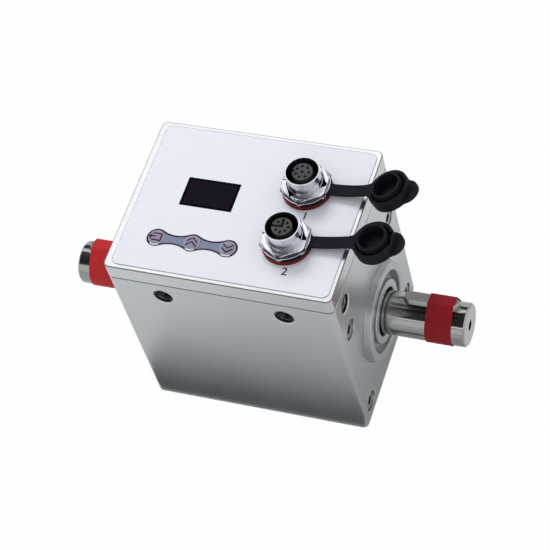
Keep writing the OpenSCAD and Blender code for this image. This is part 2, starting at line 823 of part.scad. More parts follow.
// One side of the flare, from the strap's edge to inside the skirt
function flare_edge() =
    let (x = cap_flare(), y = strap_w / 2 + cap_fillet_r, turn = atan2(y, x))
    arc(-x, y, cap_fillet_r, 270, 360 - turn, arc_n);

// One side of the finger tab, from inside the skirt to the middle of its tip
function tab_edge() =
    let (tip_x = skirt_d / 2 + tab_reach - tab_w / 2,
         near = skirt_d / 2 - cap_merge + cap_fillet_r,
         far = tab_w / 2 + cap_fillet_r,
         x = (tip_x * tip_x + near * near - far * far) / (2 * tip_x),
         y = sqrt(near * near - x * x),
         lean = atan2(y, x - tip_x))
    concat(arc(x, y, cap_fillet_r, 180 + atan2(y, x), 180 + lean, arc_n),
           arc(tip_x, 0, tab_w / 2, lean, 0, arc_n));

function both_sides(edge) =
    concat(edge, [for (i = [len(edge) - 1 : -1 : 0]) if (edge[i][1] != 0) [edge[i][0], -edge[i][1]]]);

// The cap on its own axis, with the strap's lower face at zero
module cap_body() {
    skirt_r = skirt_d / 2;
    low = strap_t - skirt_depth;
    difference() {
        union() {
            translate([0, 0, low]) cylinder(r = skirt_r, h = skirt_depth);
            prism(both_sides(flare_edge()), 0, strap_t);
            prism(both_sides(tab_edge()), low, low + tab_t);
        }
        translate([0, 0, low + cap_base_t])
            cylinder(r = skirt_r - skirt_wall, h = skirt_depth + over);
        translate([0, -cap_flat_w / 2, low + cap_base_t + flat_floor_share * skirt_depth])
            cube([skirt_r - cap_flat_wall, cap_flat_w, skirt_depth + over]);
    }
    difference() {
        translate([0, 0, low + cap_base_t / 2])
            cylinder(d = plug_d, h = skirt_depth + plug_rise - cap_base_t / 2);
        translate([0, 0, low + cap_base_t])
            cylinder(d = plug_d - 2 * plug_wall, h = skirt_depth + plug_rise);
    }
}

module connector_1_shell() { connector_shell(1); }
module connector_1_nut() { connector_nut(1); }
module connector_1_insert() { connector_insert(1); }
module connector_1_contacts() { connector_contacts(1); }
module connector_1_seal() { connector_seal(1); }
module connector_1_cap() { sealing_cap(1, strap_turn_1, strap_rise_angle_1); }
module connector_2_shell() { connector_shell(-1); }
module connector_2_nut() { connector_nut(-1); }
module connector_2_insert() { connector_insert(-1); }
module connector_2_contacts() { connector_contacts(-1); }
module connector_2_seal() { connector_seal(-1); }
module connector_2_cap() { sealing_cap(-1, strap_turn_2, strap_rise_angle_2); }

// Shaft

// Right half of the shaft's outline as radius and station, from the end inwards
function shaft_half() =
    let (collar_in = torsion_l / 2 + torsion_fillet)
    concat(
        [[shaft_d / 2 - shaft_chamfer, shaft_l / 2], [shaft_d / 2, shaft_l / 2 - shaft_chamfer],
         [shaft_d / 2, bearing_out], [seat_d / 2, bearing_out], [seat_d / 2, bearing_in],
         [collar_d / 2, bearing_in], [collar_d / 2, collar_in]],
        [for (i = [0 : arc_n])
            let (a = i * 90 / arc_n)
            [torsion_d / 2 + torsion_fillet - torsion_fillet * sin(a),
             torsion_l / 2 + torsion_fillet * cos(a)]]);

module on_key() {
    translate([0, 0, axis_h]) rotate([-key_turn, 0, 0]) children();
}

module key_solid(grow, height) {
    along = shaft_l / 2 - key_end_gap - key_l / 2;
    on_key() translate([along, 0, shaft_d / 2 - keyway_depth])
        linear_extrude(height) polygon(slot_outline(key_l + 2 * grow, key_w + 2 * grow));
}

module torsion_shaft() {
    half = shaft_half();
    last = len(half) - 1;
    color([0.62, 0.62, 0.61]) difference() {
        turned(concat([[0, shaft_l / 2]], half,
            [for (i = [last : -1 : 0]) [half[i][0], -half[i][1]]], [[0, -shaft_l / 2]]));
        for (side = [-1, 1]) end_side(side) {
            key_solid(seat_gap, shaft_d);
            disc_x(centre_d, shaft_l / 2 - centre_depth, shaft_l / 2 + over);
            along_x() translate([0, 0, shaft_l / 2 - centre_mouth_d / 2])
                cylinder(d1 = 0, d2 = centre_mouth_d, h = centre_mouth_d / 2);
        }
    }
}

module shaft_key(side) {
    color([0.45, 0.46, 0.46]) end_side(side) key_solid(0, key_h);
}

module key_tape(side) {
    key_top = shaft_d / 2 - keyway_depth + key_h + seat_gap;
    color([0.62, 0.12, 0.14]) end_side(side) on_key()
        translate([shaft_l / 2 - tape_end_gap - tape_w, 0, 0]) rotate([90, 0, 90])
            linear_extrude(tape_w) difference() {
                polygon(tape_outline(shaft_d / 2 + seat_gap + tape_t, key_w / 2 + tape_t / 2,
                                     key_top + tape_t));
                polygon(tape_outline(shaft_d / 2 + seat_gap, key_w / 2 + seat_gap, key_top));
            }
}

module strain_gauges() {
    color([0.80, 0.55, 0.25]) for (k = [0 : 3])
        along_x() rotate([0, 0, 45 + k * 90 - gauge_sweep / 2])
            rotate_extrude(angle = gauge_sweep)
                translate([torsion_d / 2 + seat_gap, -gauge_l / 2]) square([gauge_t, gauge_l]);
}

// Bobbin with a winding sunk between its two flanges
module coil(bore_d, outer_d, from, to) {
    winding_r = outer_d / 2 - coil_sink;
    turned([[bore_d / 2, from], [bore_d / 2, to], [outer_d / 2, to],
            [outer_d / 2, to - coil_flange_t], [winding_r, to - coil_flange_t],
            [winding_r, from + coil_flange_t], [outer_d / 2, from + coil_flange_t],
            [outer_d / 2, from]]);
}

module rotor_coil(side) {
    color([0.72, 0.42, 0.20]) end_side(side)
        coil(collar_d + 2 * seat_gap, rotor_d, coil_start, coil_start + rotor_l);
}

module stator_coil(side) {
    color([0.20, 0.20, 0.22]) end_side(side)
        coil(stator_bore_d, stator_bore_d + 2 * stator_wall, coil_start, carrier_in);
}

// Two leads from each stator coil up to the circuit board
module coil_leads() {
    foot = axis_h + stator_bore_d / 2 + stator_wall - coil_sink + seat_gap;
    color([0.55, 0.12, 0.10]) for (x = [-1, 1], y = [-1, 1])
        translate([x * (coil_start + carrier_in) / 2, y * lead_gap / 2, foot])
            cylinder(d = lead_d, h = board_top_h - board_t - foot, $fn = 24);
}

module rotor_board() {
    color([0.12, 0.36, 0.22]) turned([
        [collar_d / 2 + seat_gap, coil_start - rotor_board_t],
        [rotor_board_d / 2, coil_start - rotor_board_t],
        [rotor_board_d / 2, coil_start], [collar_d / 2 + seat_gap, coil_start]]);
}

// Bearings

module bearing_ring(side, inner_d, outer_d) {
    color([0.70, 0.71, 0.72]) end_side(side) difference() {
        turned([[inner_d / 2, bearing_in], [outer_d / 2, bearing_in],
                [outer_d / 2, bearing_out], [inner_d / 2, bearing_out]]);
        along_x() translate([0, 0, bearing_mid]) rotate_extrude()
            translate([ball_circle_d / 2, 0]) circle(d = ball_d + 2 * race_gap);
    }
}

module bearing_outer_ring(side) {
    bearing_ring(side, ring_land_out_d, bearing_d - 2 * seat_gap);
}

module bearing_inner_ring(side) {
    bearing_ring(side, seat_d + 2 * seat_gap, ring_land_in_d);
}

module ball_places() {
    along_x() for (k = [0 : ball_n - 1])
        rotate([0, 0, k * 360 / ball_n]) translate([ball_circle_d / 2, 0, bearing_mid]) children();
}

module bearing_balls(side) {
    color([0.80, 0.80, 0.81]) end_side(side) ball_places() sphere(d = ball_d, $fn = 32);
}

module bearing_cage(side) {
    color([0.66, 0.52, 0.26]) end_side(side) difference() {
        turned([[ball_circle_d / 2 - cage_wall / 2, bearing_mid - cage_l / 2],
                [ball_circle_d / 2 + cage_wall / 2, bearing_mid - cage_l / 2],
                [ball_circle_d / 2 + cage_wall / 2, bearing_mid + cage_l / 2],
                [ball_circle_d / 2 - cage_wall / 2, bearing_mid + cage_l / 2]]);
        along_x() translate([0, 0, bearing_mid]) for (k = [0 : ball_n - 1])
            rotate([0, 0, k * 360 / ball_n]) rotate([0, 90, 0])
                cylinder(d = ball_d + 2 * race_gap, h = ball_circle_d);
    }
}

module bearing_shields(side) {
    color([0.60, 0.61, 0.62]) end_side(side) for (face = [bearing_in + shield_inset,
            bearing_out - shield_inset - shield_t])
        turned([[ring_land_in_d / 2 + 2 * slip, face], [ring_land_out_d / 2 - seat_gap, face],
                [ring_land_out_d / 2 - seat_gap, face + shield_t],
                [ring_land_in_d / 2 + 2 * slip, face + shield_t]]);
}

// Cover pressed into the boss: a flange that holds the bearing and a hub round the shaft
module bearing_cover(side) {
    face = body_l / 2;
    top = face + pilot_h;
    color([0.72, 0.75, 0.76]) end_side(side) turned([
        [hub_hole_d / 2, bearing_out], [bearing_cover_d / 2 - seat_gap, bearing_out],
        [bearing_cover_d / 2 - seat_gap, face], [hub_d / 2, face],
        [hub_d / 2, top - pilot_chamfer], [hub_d / 2 - pilot_chamfer, top],
        [hub_hole_d / 2 + pilot_chamfer, top], [hub_hole_d / 2, top - pilot_chamfer]]);
}

// Flanged cartridge that holds a bearing and shows as the round pilot boss
module bearing_carrier(side) {
    face = body_l / 2;
    top = face + pilot_h;
    color([0.70, 0.73, 0.74]) end_side(side) difference() {
        union() {
            along_x() prism(rounded_rect(flange_s, flange_s, flange_r), carrier_in,
                            carrier_in + flange_t);
            turned([[0, carrier_in + flange_t], [carrier_neck_d / 2, carrier_in + flange_t],
                    [carrier_neck_d / 2, face], [pilot_d / 2, face],
                    [pilot_d / 2, top - pilot_chamfer], [pilot_d / 2 - pilot_chamfer, top], [0, top]]);
        }
        disc_x(carrier_bore_d, carrier_in - over, bearing_in + over);
        disc_x(bearing_d, bearing_in, bearing_out + over);
        disc_x(bearing_cover_d, bearing_out, top + over);
        turned([[0, top - pilot_chamfer], [bearing_cover_d / 2, top - pilot_chamfer],
                [bearing_cover_d / 2 + pilot_chamfer + over, top + over], [0, top + over]]);
        end_screw_axes() translate([0, 0, -end_wall - flange_t - over])
            cylinder(d = screw_d + 2 * tap_gap, h = flange_t + 2 * over);
    }
}

module end_screws(side) {
    color([0.30, 0.30, 0.31]) end_side(side) end_screw_axes() translate([0, 0, -cbore_depth])
        difference() {
            union() {
                cylinder(d = head_d, h = head_h);
                translate([0, 0, -screw_l]) cylinder(d = screw_d, h = screw_l);
            }
            translate([0, 0, head_h - socket_depth])
                cylinder(d = socket_af / cos(30), h = socket_depth + over, $fn = 6);
        }
}

module shaft_key_left() { shaft_key(-1); }
module shaft_key_right() { shaft_key(1); }
module key_tape_left() { key_tape(-1); }
module key_tape_right() { key_tape(1); }
module rotor_coil_left() { rotor_coil(-1); }
module rotor_coil_right() { rotor_coil(1); }
module stator_coil_left() { stator_coil(-1); }
module stator_coil_right() { stator_coil(1); }
module bearing_carrier_left() { bearing_carrier(-1); }
module bearing_carrier_right() { bearing_carrier(1); }
module bearing_cover_left() { bearing_cover(-1); }
module bearing_cover_right() { bearing_cover(1); }
module end_screws_left() { end_screws(-1); }
module end_screws_right() { end_screws(1); }
module bearing_left_outer_ring() { bearing_outer_ring(-1); }
module bearing_left_inner_ring() { bearing_inner_ring(-1); }
module bearing_left_balls() { bearing_balls(-1); }
module bearing_left_cage() { bearing_cage(-1); }
module bearing_left_shields() { bearing_shields(-1); }
module bearing_right_outer_ring() { bearing_outer_ring(1); }
module bearing_right_inner_ring() { bearing_inner_ring(1); }
module bearing_right_balls() { bearing_balls(1); }
module bearing_right_cage() { bearing_cage(1); }
module bearing_right_shields() { bearing_shields(1); }

housing_body();
cover_gasket();
top_cover();
cover_screws();
panel_label();
display_window();
display_module();
keypad_frame();
button_enter();
button_up();
button_down();
main_board();
board_spacers();
board_screws();
key_switches();
connector_1_shell();
connector_1_nut();
connector_1_insert();
connector_1_contacts();
connector_1_seal();
connector_1_cap();
connector_2_shell();
connector_2_nut();
connector_2_insert();
connector_2_contacts();
connector_2_seal();
connector_2_cap();
torsion_shaft();
strain_gauges();
rotor_coil_left();
rotor_coil_right();
rotor_board();
shaft_key_left();
shaft_key_right();
key_tape_left();
key_tape_right();
bearing_carrier_left();
bearing_carrier_right();
bearing_cover_left();
bearing_cover_right();
end_screws_left();
end_screws_right();
stator_coil_left();
stator_coil_right();
coil_leads();
bearing_left_outer_ring();
bearing_left_inner_ring();
bearing_left_balls();
bearing_left_cage();
bearing_left_shields();
bearing_right_outer_ring();
bearing_right_inner_ring();
bearing_right_balls();
bearing_right_cage();
bearing_right_shields();
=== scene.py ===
"""Looks of a rotary torque sensor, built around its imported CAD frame.

The frame gives every place and size. Each sub-assembly is a class that dresses its CAD
nodes and adds the fine pieces that the solids leave out: printed signs, thread flanks,
wound tape and eased edges. Lengths are in metres.
"""

import json
import logging
import math
from collections.abc import Iterator, Sequence
from contextlib import contextmanager
from dataclasses import dataclass, field, replace
from enum import Enum

import bpy
from mathutils import Matrix, Vector

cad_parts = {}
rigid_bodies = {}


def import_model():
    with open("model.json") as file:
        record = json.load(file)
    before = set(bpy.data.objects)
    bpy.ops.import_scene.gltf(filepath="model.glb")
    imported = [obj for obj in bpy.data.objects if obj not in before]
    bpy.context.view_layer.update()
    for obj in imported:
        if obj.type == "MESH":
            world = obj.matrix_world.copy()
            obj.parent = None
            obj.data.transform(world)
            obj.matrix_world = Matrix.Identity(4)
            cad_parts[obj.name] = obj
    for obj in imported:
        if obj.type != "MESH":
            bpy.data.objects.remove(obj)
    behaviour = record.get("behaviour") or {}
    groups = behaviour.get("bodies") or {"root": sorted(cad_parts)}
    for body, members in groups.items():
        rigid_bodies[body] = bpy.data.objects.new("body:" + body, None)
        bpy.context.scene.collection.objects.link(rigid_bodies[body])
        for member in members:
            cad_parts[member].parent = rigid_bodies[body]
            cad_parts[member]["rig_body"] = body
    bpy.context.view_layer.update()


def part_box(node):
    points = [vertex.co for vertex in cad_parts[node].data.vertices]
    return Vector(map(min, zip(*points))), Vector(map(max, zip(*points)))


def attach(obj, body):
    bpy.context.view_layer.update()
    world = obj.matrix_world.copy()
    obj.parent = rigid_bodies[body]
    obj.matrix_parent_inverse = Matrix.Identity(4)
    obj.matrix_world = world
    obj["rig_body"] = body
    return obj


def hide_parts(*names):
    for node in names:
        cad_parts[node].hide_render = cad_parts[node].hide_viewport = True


LOG = logging.getLogger("torque_sensor")
MM = 0.001
WELD = 0.002 * MM
LEVEL = math.radians(0.3)
Colour = tuple[float, float, float]
Point = tuple[float, float, float]
Flat = tuple[float, float]
WHITE: Colour = (1.0, 1.0, 1.0)


class Side(Enum):
    """The two ends of the shaft, with the sign of their X."""

    LEFT = -1
    RIGHT = 1

    @property
    def word(self) -> str:
        """The end's name as the CAD nodes spell it."""
        return self.name.lower()


class Port(Enum):
    """The two panel connectors, with the sign of their Y."""

    ONE = 1
    TWO = -1

    @property
    def number(self) -> int:
        """The number printed beside the connector."""
        return 1 if self is Port.ONE else 2


class Key(Enum):
    """The three push buttons, with their step along the row."""

    ENTER = -1
    UP = 0
    DOWN = 1

    @property
    def node(self) -> str:
        """The CAD node, which is also the body it rides on."""
        return f"button_{self.name.lower()}"


# Shader maths


class Value:
    """A node's output that builds Math nodes when it is used in an expression."""

    def __init__(self, shader: "Shader", socket: bpy.types.NodeSocket) -> None:
        """Wraps a socket.

        Args:
            shader: The material that the socket belongs to.
            socket: The output socket.
        """
        self.shader = shader
        self.socket = socket

    def _math(self, operation: str, *values: "Value | float") -> "Value":
        """Adds one Math node.

        Args:
            operation: The Math node's operation.
            *values: Its inputs, in order.

        Returns:
            The node's output.
        """
        sockets = dict(enumerate(values))
        return self.shader.node("ShaderNodeMath", {"operation": operation}, sockets)

    def __add__(self, other: "Value | float") -> "Value":
        """The sum."""
        return self._math("ADD", self, other)

    def __sub__(self, other: "Value | float") -> "Value":
        """The difference."""
        return self._math("SUBTRACT", self, other)

    def __rsub__(self, other: float) -> "Value":
        """The difference, from a number."""
        return self._math("SUBTRACT", other, self)

    def __mul__(self, other: "Value | float") -> "Value":
        """The product."""
        return self._math("MULTIPLY", self, other)

    __radd__ = __add__
    __rmul__ = __mul__

    def root(self) -> "Value":
        """The square root."""
        return self._math("SQRT", self)

    def size(self) -> "Value":
        """The value without its sign."""
        return self._math("ABSOLUTE", self)

    def at_least(self, floor: "Value | float") -> "Value":
        """The value, or another one where that is greater."""
        return self._math("MAXIMUM", self, floor)

    def sine(self) -> "Value":
        """The sine of an angle in radians."""
        return self._math("SINE", self)

    def angle_over(self, other: "Value") -> "Value":
        """The angle in radians of a point this far along one axis and that far on the next."""
        return self._math("ARCTAN2", self, other)

    def ramp(self, low: float, high: float) -> "Value":
        """Rises smoothly from 0 at low to 1 at high.

        Args:
            low: The value that gives 0.
            high: The value that gives 1. It may be below low.

        Returns:
            A value from 0 to 1.
        """
        if low > high:
            return 1 - self.ramp(high, low)
        settings = {"interpolation_type": "SMOOTHSTEP"}
        return self.shader.node("ShaderNodeMapRange", settings,
                                {"Value": self, "From Min": low, "From Max": high})


class Shader:
    """One material, or the world, whose nodes are added by calls."""

    def __init__(self, name: str, world: bool = False) -> None:
        """Makes an empty material or world.

        Args:
            name: Its name.
            world: Whether it is a world.
        """
        self.kind = "World" if world else "Material"
        self.owner = (bpy.data.worlds if world else bpy.data.materials).new(name)
        self.owner.use_nodes = True
        self.tree = self.owner.node_tree
        self.tree.nodes.clear()

    def node(self, kind: str, settings: dict | None = None, sockets: dict | None = None,
             output: str | int = 0) -> Value:
        """Adds a node, sets it up, and links or fills its sockets.

        Args:
            kind: The node's type.
            settings: Its properties, such as a Math node's operation.
            sockets: What goes into each input, by name or number.
            output: The output that is wanted.

        Returns:
            That output.
        """
        made = self.tree.nodes.new(kind)
        for key, value in (settings or {}).items():
            setattr(made, key, value)
        for key, value in (sockets or {}).items():
            if isinstance(value, Value):
                self.tree.links.new(value.socket, made.inputs[key])
            elif isinstance(value, tuple) and made.inputs[key].type == "RGBA":
                made.inputs[key].default_value = (*value, 1.0)
            else:
                made.inputs[key].default_value = value
        return Value(self, made.outputs[output])

    def outputs(self, made: Value, *names: str) -> tuple[Value, ...]:
        """Several outputs of one node.

        Args:
            made: Any output of the node.
            *names: The outputs that are wanted.

        Returns:
            Those outputs, in order.
        """
        return tuple(Value(self, made.socket.node.outputs[name]) for name in names)

    def place(self, centre: Point = (0, 0, 0), scale: Point = (1, 1, 1)) -> Value:
        """The Object coordinate, from a centre and scaled.

        Args:
            centre: What is taken as zero.
            scale: Scale along each axis.

        Returns:
            A vector.
        """
        at = self.node("ShaderNodeTexCoord", output="Object")
        moved = self.node("ShaderNodeVectorMath", {"operation": "SUBTRACT"}, {0: at, 1: centre})
        return self.node("ShaderNodeMapping", {}, {"Vector": moved, "Scale": scale})

    def axes(self, vector: Value) -> tuple[Value, ...]:
        """The three components of a vector."""
        return self.outputs(self.node("ShaderNodeSeparateXYZ", {}, {0: vector}), "X", "Y", "Z")

    def rays(self) -> tuple[Value, ...]:
        """Whether a ray comes from the camera, off a gloss or through glass."""
        return self.outputs(self.node("ShaderNodeLightPath"), "Is Camera Ray", "Is Glossy Ray",
                            "Is Transmission Ray")

    def noise(self, vector: Value, scale: float, detail: float = 3.0,
              rough: float = 0.5) -> Value:
        """Noise from 0 to 1.

        Args:
            vector: Where it is read.
            scale: Its cells in a metre.
            detail: How many finer layers it has.
            rough: How strong the finer layers are.

        Returns:
            The noise.
        """
        return self.node("ShaderNodeTexNoise", {},
                         {"Vector": vector, "Scale": scale, "Detail": detail,
                          "Roughness": rough})

    def mix(self, factor: Value | float, low: Colour | Value, high: Colour | Value,
            blend: str = "MIX") -> Value:
        """A colour between two, or one blended over the other.

        Args:
            factor: From 0 for the first colour to 1 for the second.
            low: The first colour.
            high: The second colour.
            blend: The way of blending.

        Returns:
            The colour.
        """
        return self.node("ShaderNodeMix", {"data_type": "RGBA", "blend_type": blend},
                         {0: factor, 6: low, 7: high}, 2)

    def bump(self, height: Value, depth: float, under: Value | None = None) -> Value:
        """A normal from a height.

        Args:
            height: The height, from 0 to 1.
            depth: How deep that is in metres.
            under: A coarser normal below it.

        Returns:
            The normal.
        """
        sockets = {"Height": height, "Distance": depth, "Strength": 1.0}
        if under is not None:
            sockets["Normal"] = under
        return self.node("ShaderNodeBump", {}, sockets)

    def surface(self, **sockets: Value | float | Colour) -> bpy.types.Material:
        """Ends the material in one Principled surface.

        Args:
            **sockets: Inputs, with _ for a space, such as Base_Color.

        Returns:
            The material.
        """
        named = {key.replace("_", " "): value for key, value in sockets.items()}
        return self.end(self.node("ShaderNodeBsdfPrincipled", {}, named))

    def end(self, body: Value) -> bpy.types.Material | bpy.types.World:
        """Links a shader to the output.

        Args:
            body: The shader.

        Returns:
            The material or world.
        """
        out = self.tree.nodes.new(f"ShaderNodeOutput{self.kind}")
        self.tree.links.new(body.socket, out.inputs["Surface"])
        return self.owner


# Finishes


@dataclass(frozen=True)
class SatinAluminium:
    """Bead-blasted and anodised aluminium, painted darker towards the foot as shade."""

    name: str
    head: Colour
    foot: Colour
    head_z: float = 104 * MM
    foot_z: float = 0.0
    roughness: float = 0.36
    blast: float = 2600.0
    cloud: float = 38.0
    depth: float = 0.012 * MM
    rim_half: tuple[float, float] | None = None
    rim_r: float = 2.5 * MM
    rim_w: float = 0.5 * MM
    rim_h: float = 0.5 * MM
    # The colour of the painted shade on the top edge's rounded corner.
    rim: Colour = (0.22, 0.225, 0.23)

    def milled(self, x: Value, y: Value, z: Value) -> Value:
        """Where the machined corner along the top edge lies, which is painted darker as shade.

        Args:
            x: The place along X.
            y: The place along Y.
            z: The place along Z.

        Returns:
            1 on that corner and 0 elsewhere.
        """
        across = (x.size() - (self.rim_half[0] - self.rim_r)).at_least(0.0)
        along = (y.size() - (self.rim_half[1] - self.rim_r)).at_least(0.0)
        out = (across * across + along * along).root()
        return (out.ramp(self.rim_r - self.rim_w, self.rim_r - 0.6 * self.rim_w)
                * z.ramp(self.head_z - 1.3 * self.rim_h, self.head_z - self.rim_h))

    def build(self) -> bpy.types.Material:
        """Sets out the finish.

        Returns:
            The material.
        """
        s = Shader(self.name)
        at = s.place()
        x, y, height = s.axes(at)
        grain = s.noise(at, self.blast, 2.0)
        cloud = s.noise(at, self.cloud, 3.0)
        # Painted shade: the colour falls from head at head_z to the darker foot at foot_z.
        tone = s.mix(height.ramp(self.foot_z, self.head_z), self.foot, self.head)
        mottle = s.mix(grain * 0.6 + cloud * 0.4, (0.9, 0.9, 0.9), (1.08, 1.08, 1.08))
        lit = s.mix(1.0, tone, mottle, "MULTIPLY")
        # Painted shade: the rounded corner along the top edge is darkened to the rim colour.
        if self.rim_half:
            lit = s.mix(self.milled(x, y, height), lit, self.rim)
        return s.surface(Base_Color=lit, Metallic=1.0,
                         Roughness=self.roughness + (cloud - 0.5) * 0.08 + (grain - 0.5) * 0.05,
                         Normal=s.bump(grain, self.depth))


@dataclass(frozen=True)
class TurnedMetal:
    """Metal with fine turning marks round an axis along X.

    Duller beyond tip_x; the centre hole and all short of shade_x are painted black as shade.
    """

    name: str
    colour: Colour
    roughness: float
    axis_z: float
    marks: float = 3200.0
    depth: float = 0.0015 * MM
    stain: float = 0.10
    tip_x: float = 0.0
    tip: Colour = (0.46, 0.475, 0.51)
    # The black of the painted shade in the centre hole and inside the hub.
    pit: Colour = (0.006, 0.006, 0.007)
    fade: float = 0.1 * MM
    centre_r: float = 0.0
    shade_x: float = 0.0
    metallic: float = 1.0

    def build(self) -> bpy.types.Material:
        """Sets out the finish.

        Returns:
            The material.
        """
        s = Shader(self.name)
        at = s.place((0, 0, self.axis_z))
        x, y, z = s.axes(at)
        radius = (y * y + z * z).root()
        along = s.node("ShaderNodeCombineXYZ", {}, {0: x, 1: radius, 2: 0.0})
        lines = s.noise(along, self.marks, 2.0, 0.6)
        cloud = s.noise(at, 260.0, 4.0)
        dark = tuple(c * (1 - self.stain) for c in self.colour)
        tone = s.mix(lines * 0.7 + cloud * 0.3, dark, self.colour)
        rough = self.roughness + (lines - 0.5) * 0.06 + (cloud - 0.5) * 0.04
        if self.tip_x:
            tip = x.size().ramp(self.tip_x - 3 * self.fade, self.tip_x - self.fade)
            hole = radius.ramp(self.centre_r + self.fade, self.centre_r)
            # Painted shade: the face within centre_r of the axis is painted black, for the centre
            # hole.
            tone = s.mix(hole, s.mix(tip, tone, self.tip), self.pit)
            rough = rough + tip * 0.12
        if self.shade_x:
            # Painted shade: short of shade_x, inside the hub, the metal is painted black.
            depth = x.size().ramp(self.shade_x, self.shade_x - 3 * self.fade)
            tone = s.mix(depth, tone, self.pit)
        return s.surface(Base_Color=tone, Metallic=self.metallic, Roughness=rough,
                         Normal=s.bump(lines, self.depth))


@dataclass(frozen=True)
class BrightPlate:
    """Polished plating with painted shade black inside a given radius, or a painted dark
    reflection between the heights of flats.
    """

    name: str
    colour: Colour = (0.72, 0.73, 0.79)
    lining: Colour = (0.006, 0.006, 0.008)
    centre: Point | None = None
    lining_r: float = 0.0
    roughness: float = 0.19
    flats: tuple[float, float] | None = None
    flat: Colour = (0.07, 0.072, 0.085)
    fade: float = 0.12 * MM

    def build(self) -> bpy.types.Material:
        """Sets out the finish.

        Returns:
            The material.
        """
        s = Shader(self.name)
        at = s.place(self.centre or (0, 0, 0))
        x, y, z = s.axes(at)
        smear = s.noise(at, 420.0, 4.0, 0.6)
        pits = s.noise(at, 5200.0, 2.0)
        normal = s.bump(pits * 0.4 + smear * 0.6, 0.001 * MM)
        rough = self.roughness + smear * 0.05
        if self.flats:
            low, high = self.flats
            # Painted reflection: the nut's flats are painted dark between these heights.
            painted_reflection_band = z.ramp(low, low + self.fade) * z.ramp(high, high - self.fade)
            return s.surface(Base_Color=s.mix(painted_reflection_band, self.colour, self.flat),
                             Metallic=1.0, Roughness=rough, Normal=normal)
        # Painted shade: inside the bore radius the plating is painted black and made dull.
        inside = (x * x + y * y).root().ramp(self.lining_r + 0.5 * self.fade, self.lining_r)
        return s.surface(Base_Color=s.mix(inside, self.colour, self.lining),
                         Metallic=1 - inside, Roughness=rough + inside * 0.35, Normal=normal)


@dataclass(frozen=True)
class Moulded:
    """Moulded plastic or rubber: a fine leathered skin with slight bloom."""

    name: str
    colour: Colour
    bloom: Colour
    roughness: float = 0.5
    grain: float = 3200.0
    depth: float = 0.008 * MM
    gloss: float = 0.5
    coat: float = 0.0

    def build(self) -> bpy.types.Material:
        """Sets out the finish.

        Returns:
            The material.
        """
        s = Shader(self.name)
        at = s.place()
        grain = s.noise(at, self.grain, 2.0)
        cloud = s.noise(at, 260.0, 4.0, 0.6)
        return s.surface(Base_Color=s.mix(cloud.ramp(0.3, 0.8), self.colour, self.bloom),
                         Roughness=self.roughness + (cloud - 0.5) * 0.12,
                         Specular_IOR_Level=self.gloss, Coat_Weight=self.coat,
                         Coat_Roughness=0.08,
                         Normal=s.bump(grain * 0.7 + cloud * 0.3, self.depth))


@dataclass(frozen=True)
class LabelFilm:
    """Printed polyester film: fine satin texture, very slightly mottled."""

    name: str = "label_film"
    colour: Colour = (0.80, 0.815, 0.885)
    shade: Colour = (0.765, 0.785, 0.86)

    def build(self) -> bpy.types.Material:
        """Sets out the finish.

        Returns:
            The material.
        """
        s = Shader(self.name)
        at = s.place()
        grain = s.noise(at, 3800.0, 2.0)
        mottle = s.noise(at, 90.0, 4.0)
        return s.surface(Base_Color=s.mix(grain * 0.35 + mottle * 0.65, self.shade, self.colour),
                         Roughness=0.46 + (grain - 0.5) * 0.12, Specular_IOR_Level=0.3,
                         Normal=s.bump(grain, 0.006 * MM))


@dataclass(frozen=True)
class Filter:
    """Smoked display filter with a black printed border."""

    centre: Point
    half: tuple[float, float]
    name: str = "display_filter"
    border: float = 0.9 * MM
    smoke: Colour = (0.0095, 0.007, 0.0155)
    black: Colour = (0.002, 0.002, 0.003)

    def build(self) -> bpy.types.Material:
        """Sets out the finish.

        Returns:
            The material.
        """
        s = Shader(self.name)
        at = s.place(self.centre)
        x, y, _ = s.axes(at)
        across, along = (part.size().ramp(half - self.border, half - 1.6 * self.border)
                         for part, half in zip((x, y), self.half))
        cloud = s.noise(at, 240.0, 4.0)
        tone = s.mix(across * along * (0.6 + cloud * 0.6), self.black, self.smoke)
        return s.surface(Base_Color=tone, Roughness=0.42 + cloud * 0.06,
                         Specular_IOR_Level=0.02, Normal=s.bump(cloud, 0.002 * MM))


@dataclass(frozen=True)
class WoundTape:
    """Cloth-backed tape with a fine weave along and across its run."""

    name: str
    colour: Colour
    deep: Colour
    axis_z: float
    pitch: float = 0.34 * MM
    run_r: float = 10.5 * MM

    def build(self) -> bpy.types.Material:
        """Sets out the finish.

        Returns:
            The material.
        """
        s = Shader(self.name)
        at = s.place((0, 0, self.axis_z))
        x, y, z = s.axes(at)
        step = 2 * math.pi / self.pitch
        warp = (x * step).sine()
        weft = (y.angle_over(z) * (self.run_r * step)).sine()
        weave = warp * weft * 0.5 + 0.5
        cloud = s.noise(at, 320.0, 4.0, 0.6)
        crease = s.noise(s.place((0, 0, self.axis_z), (3.0, 1.0, 1.0)), 160.0, 3.0)
        normal = s.bump(weave, 0.03 * MM, s.bump(crease, 0.24 * MM))
        worn = cloud.ramp(0.25, 0.75) * 0.35 + weave * 0.65
        return s.surface(Base_Color=s.mix(worn, self.deep, self.colour),
                         Roughness=0.6 + (cloud - 0.5) * 0.2, Specular_IOR_Level=0.2,
                         Normal=normal)


@dataclass(frozen=True)
class Laminate:
    """Circuit board laminate with copper tracks under the lacquer."""

    name: str = "board_laminate"

    def build(self) -> bpy.types.Material:
        """Sets out the finish.

        Returns:
            The material.
        """
        s = Shader(self.name)
        at = s.place()
        tracks = s.node("ShaderNodeTexBrick", {"offset": 0.5},
                        {"Vector": at, "Scale": 260.0, "Mortar Size": 0.03}, "Fac")
        cloud = s.noise(at, 600.0, 3.0)
        base = s.mix(tracks, (0.012, 0.12, 0.05), (0.05, 0.26, 0.11))
        return s.surface(Base_Color=base, Roughness=0.3 + cloud * 0.15,
                         Normal=s.bump(tracks, 0.02 * MM))


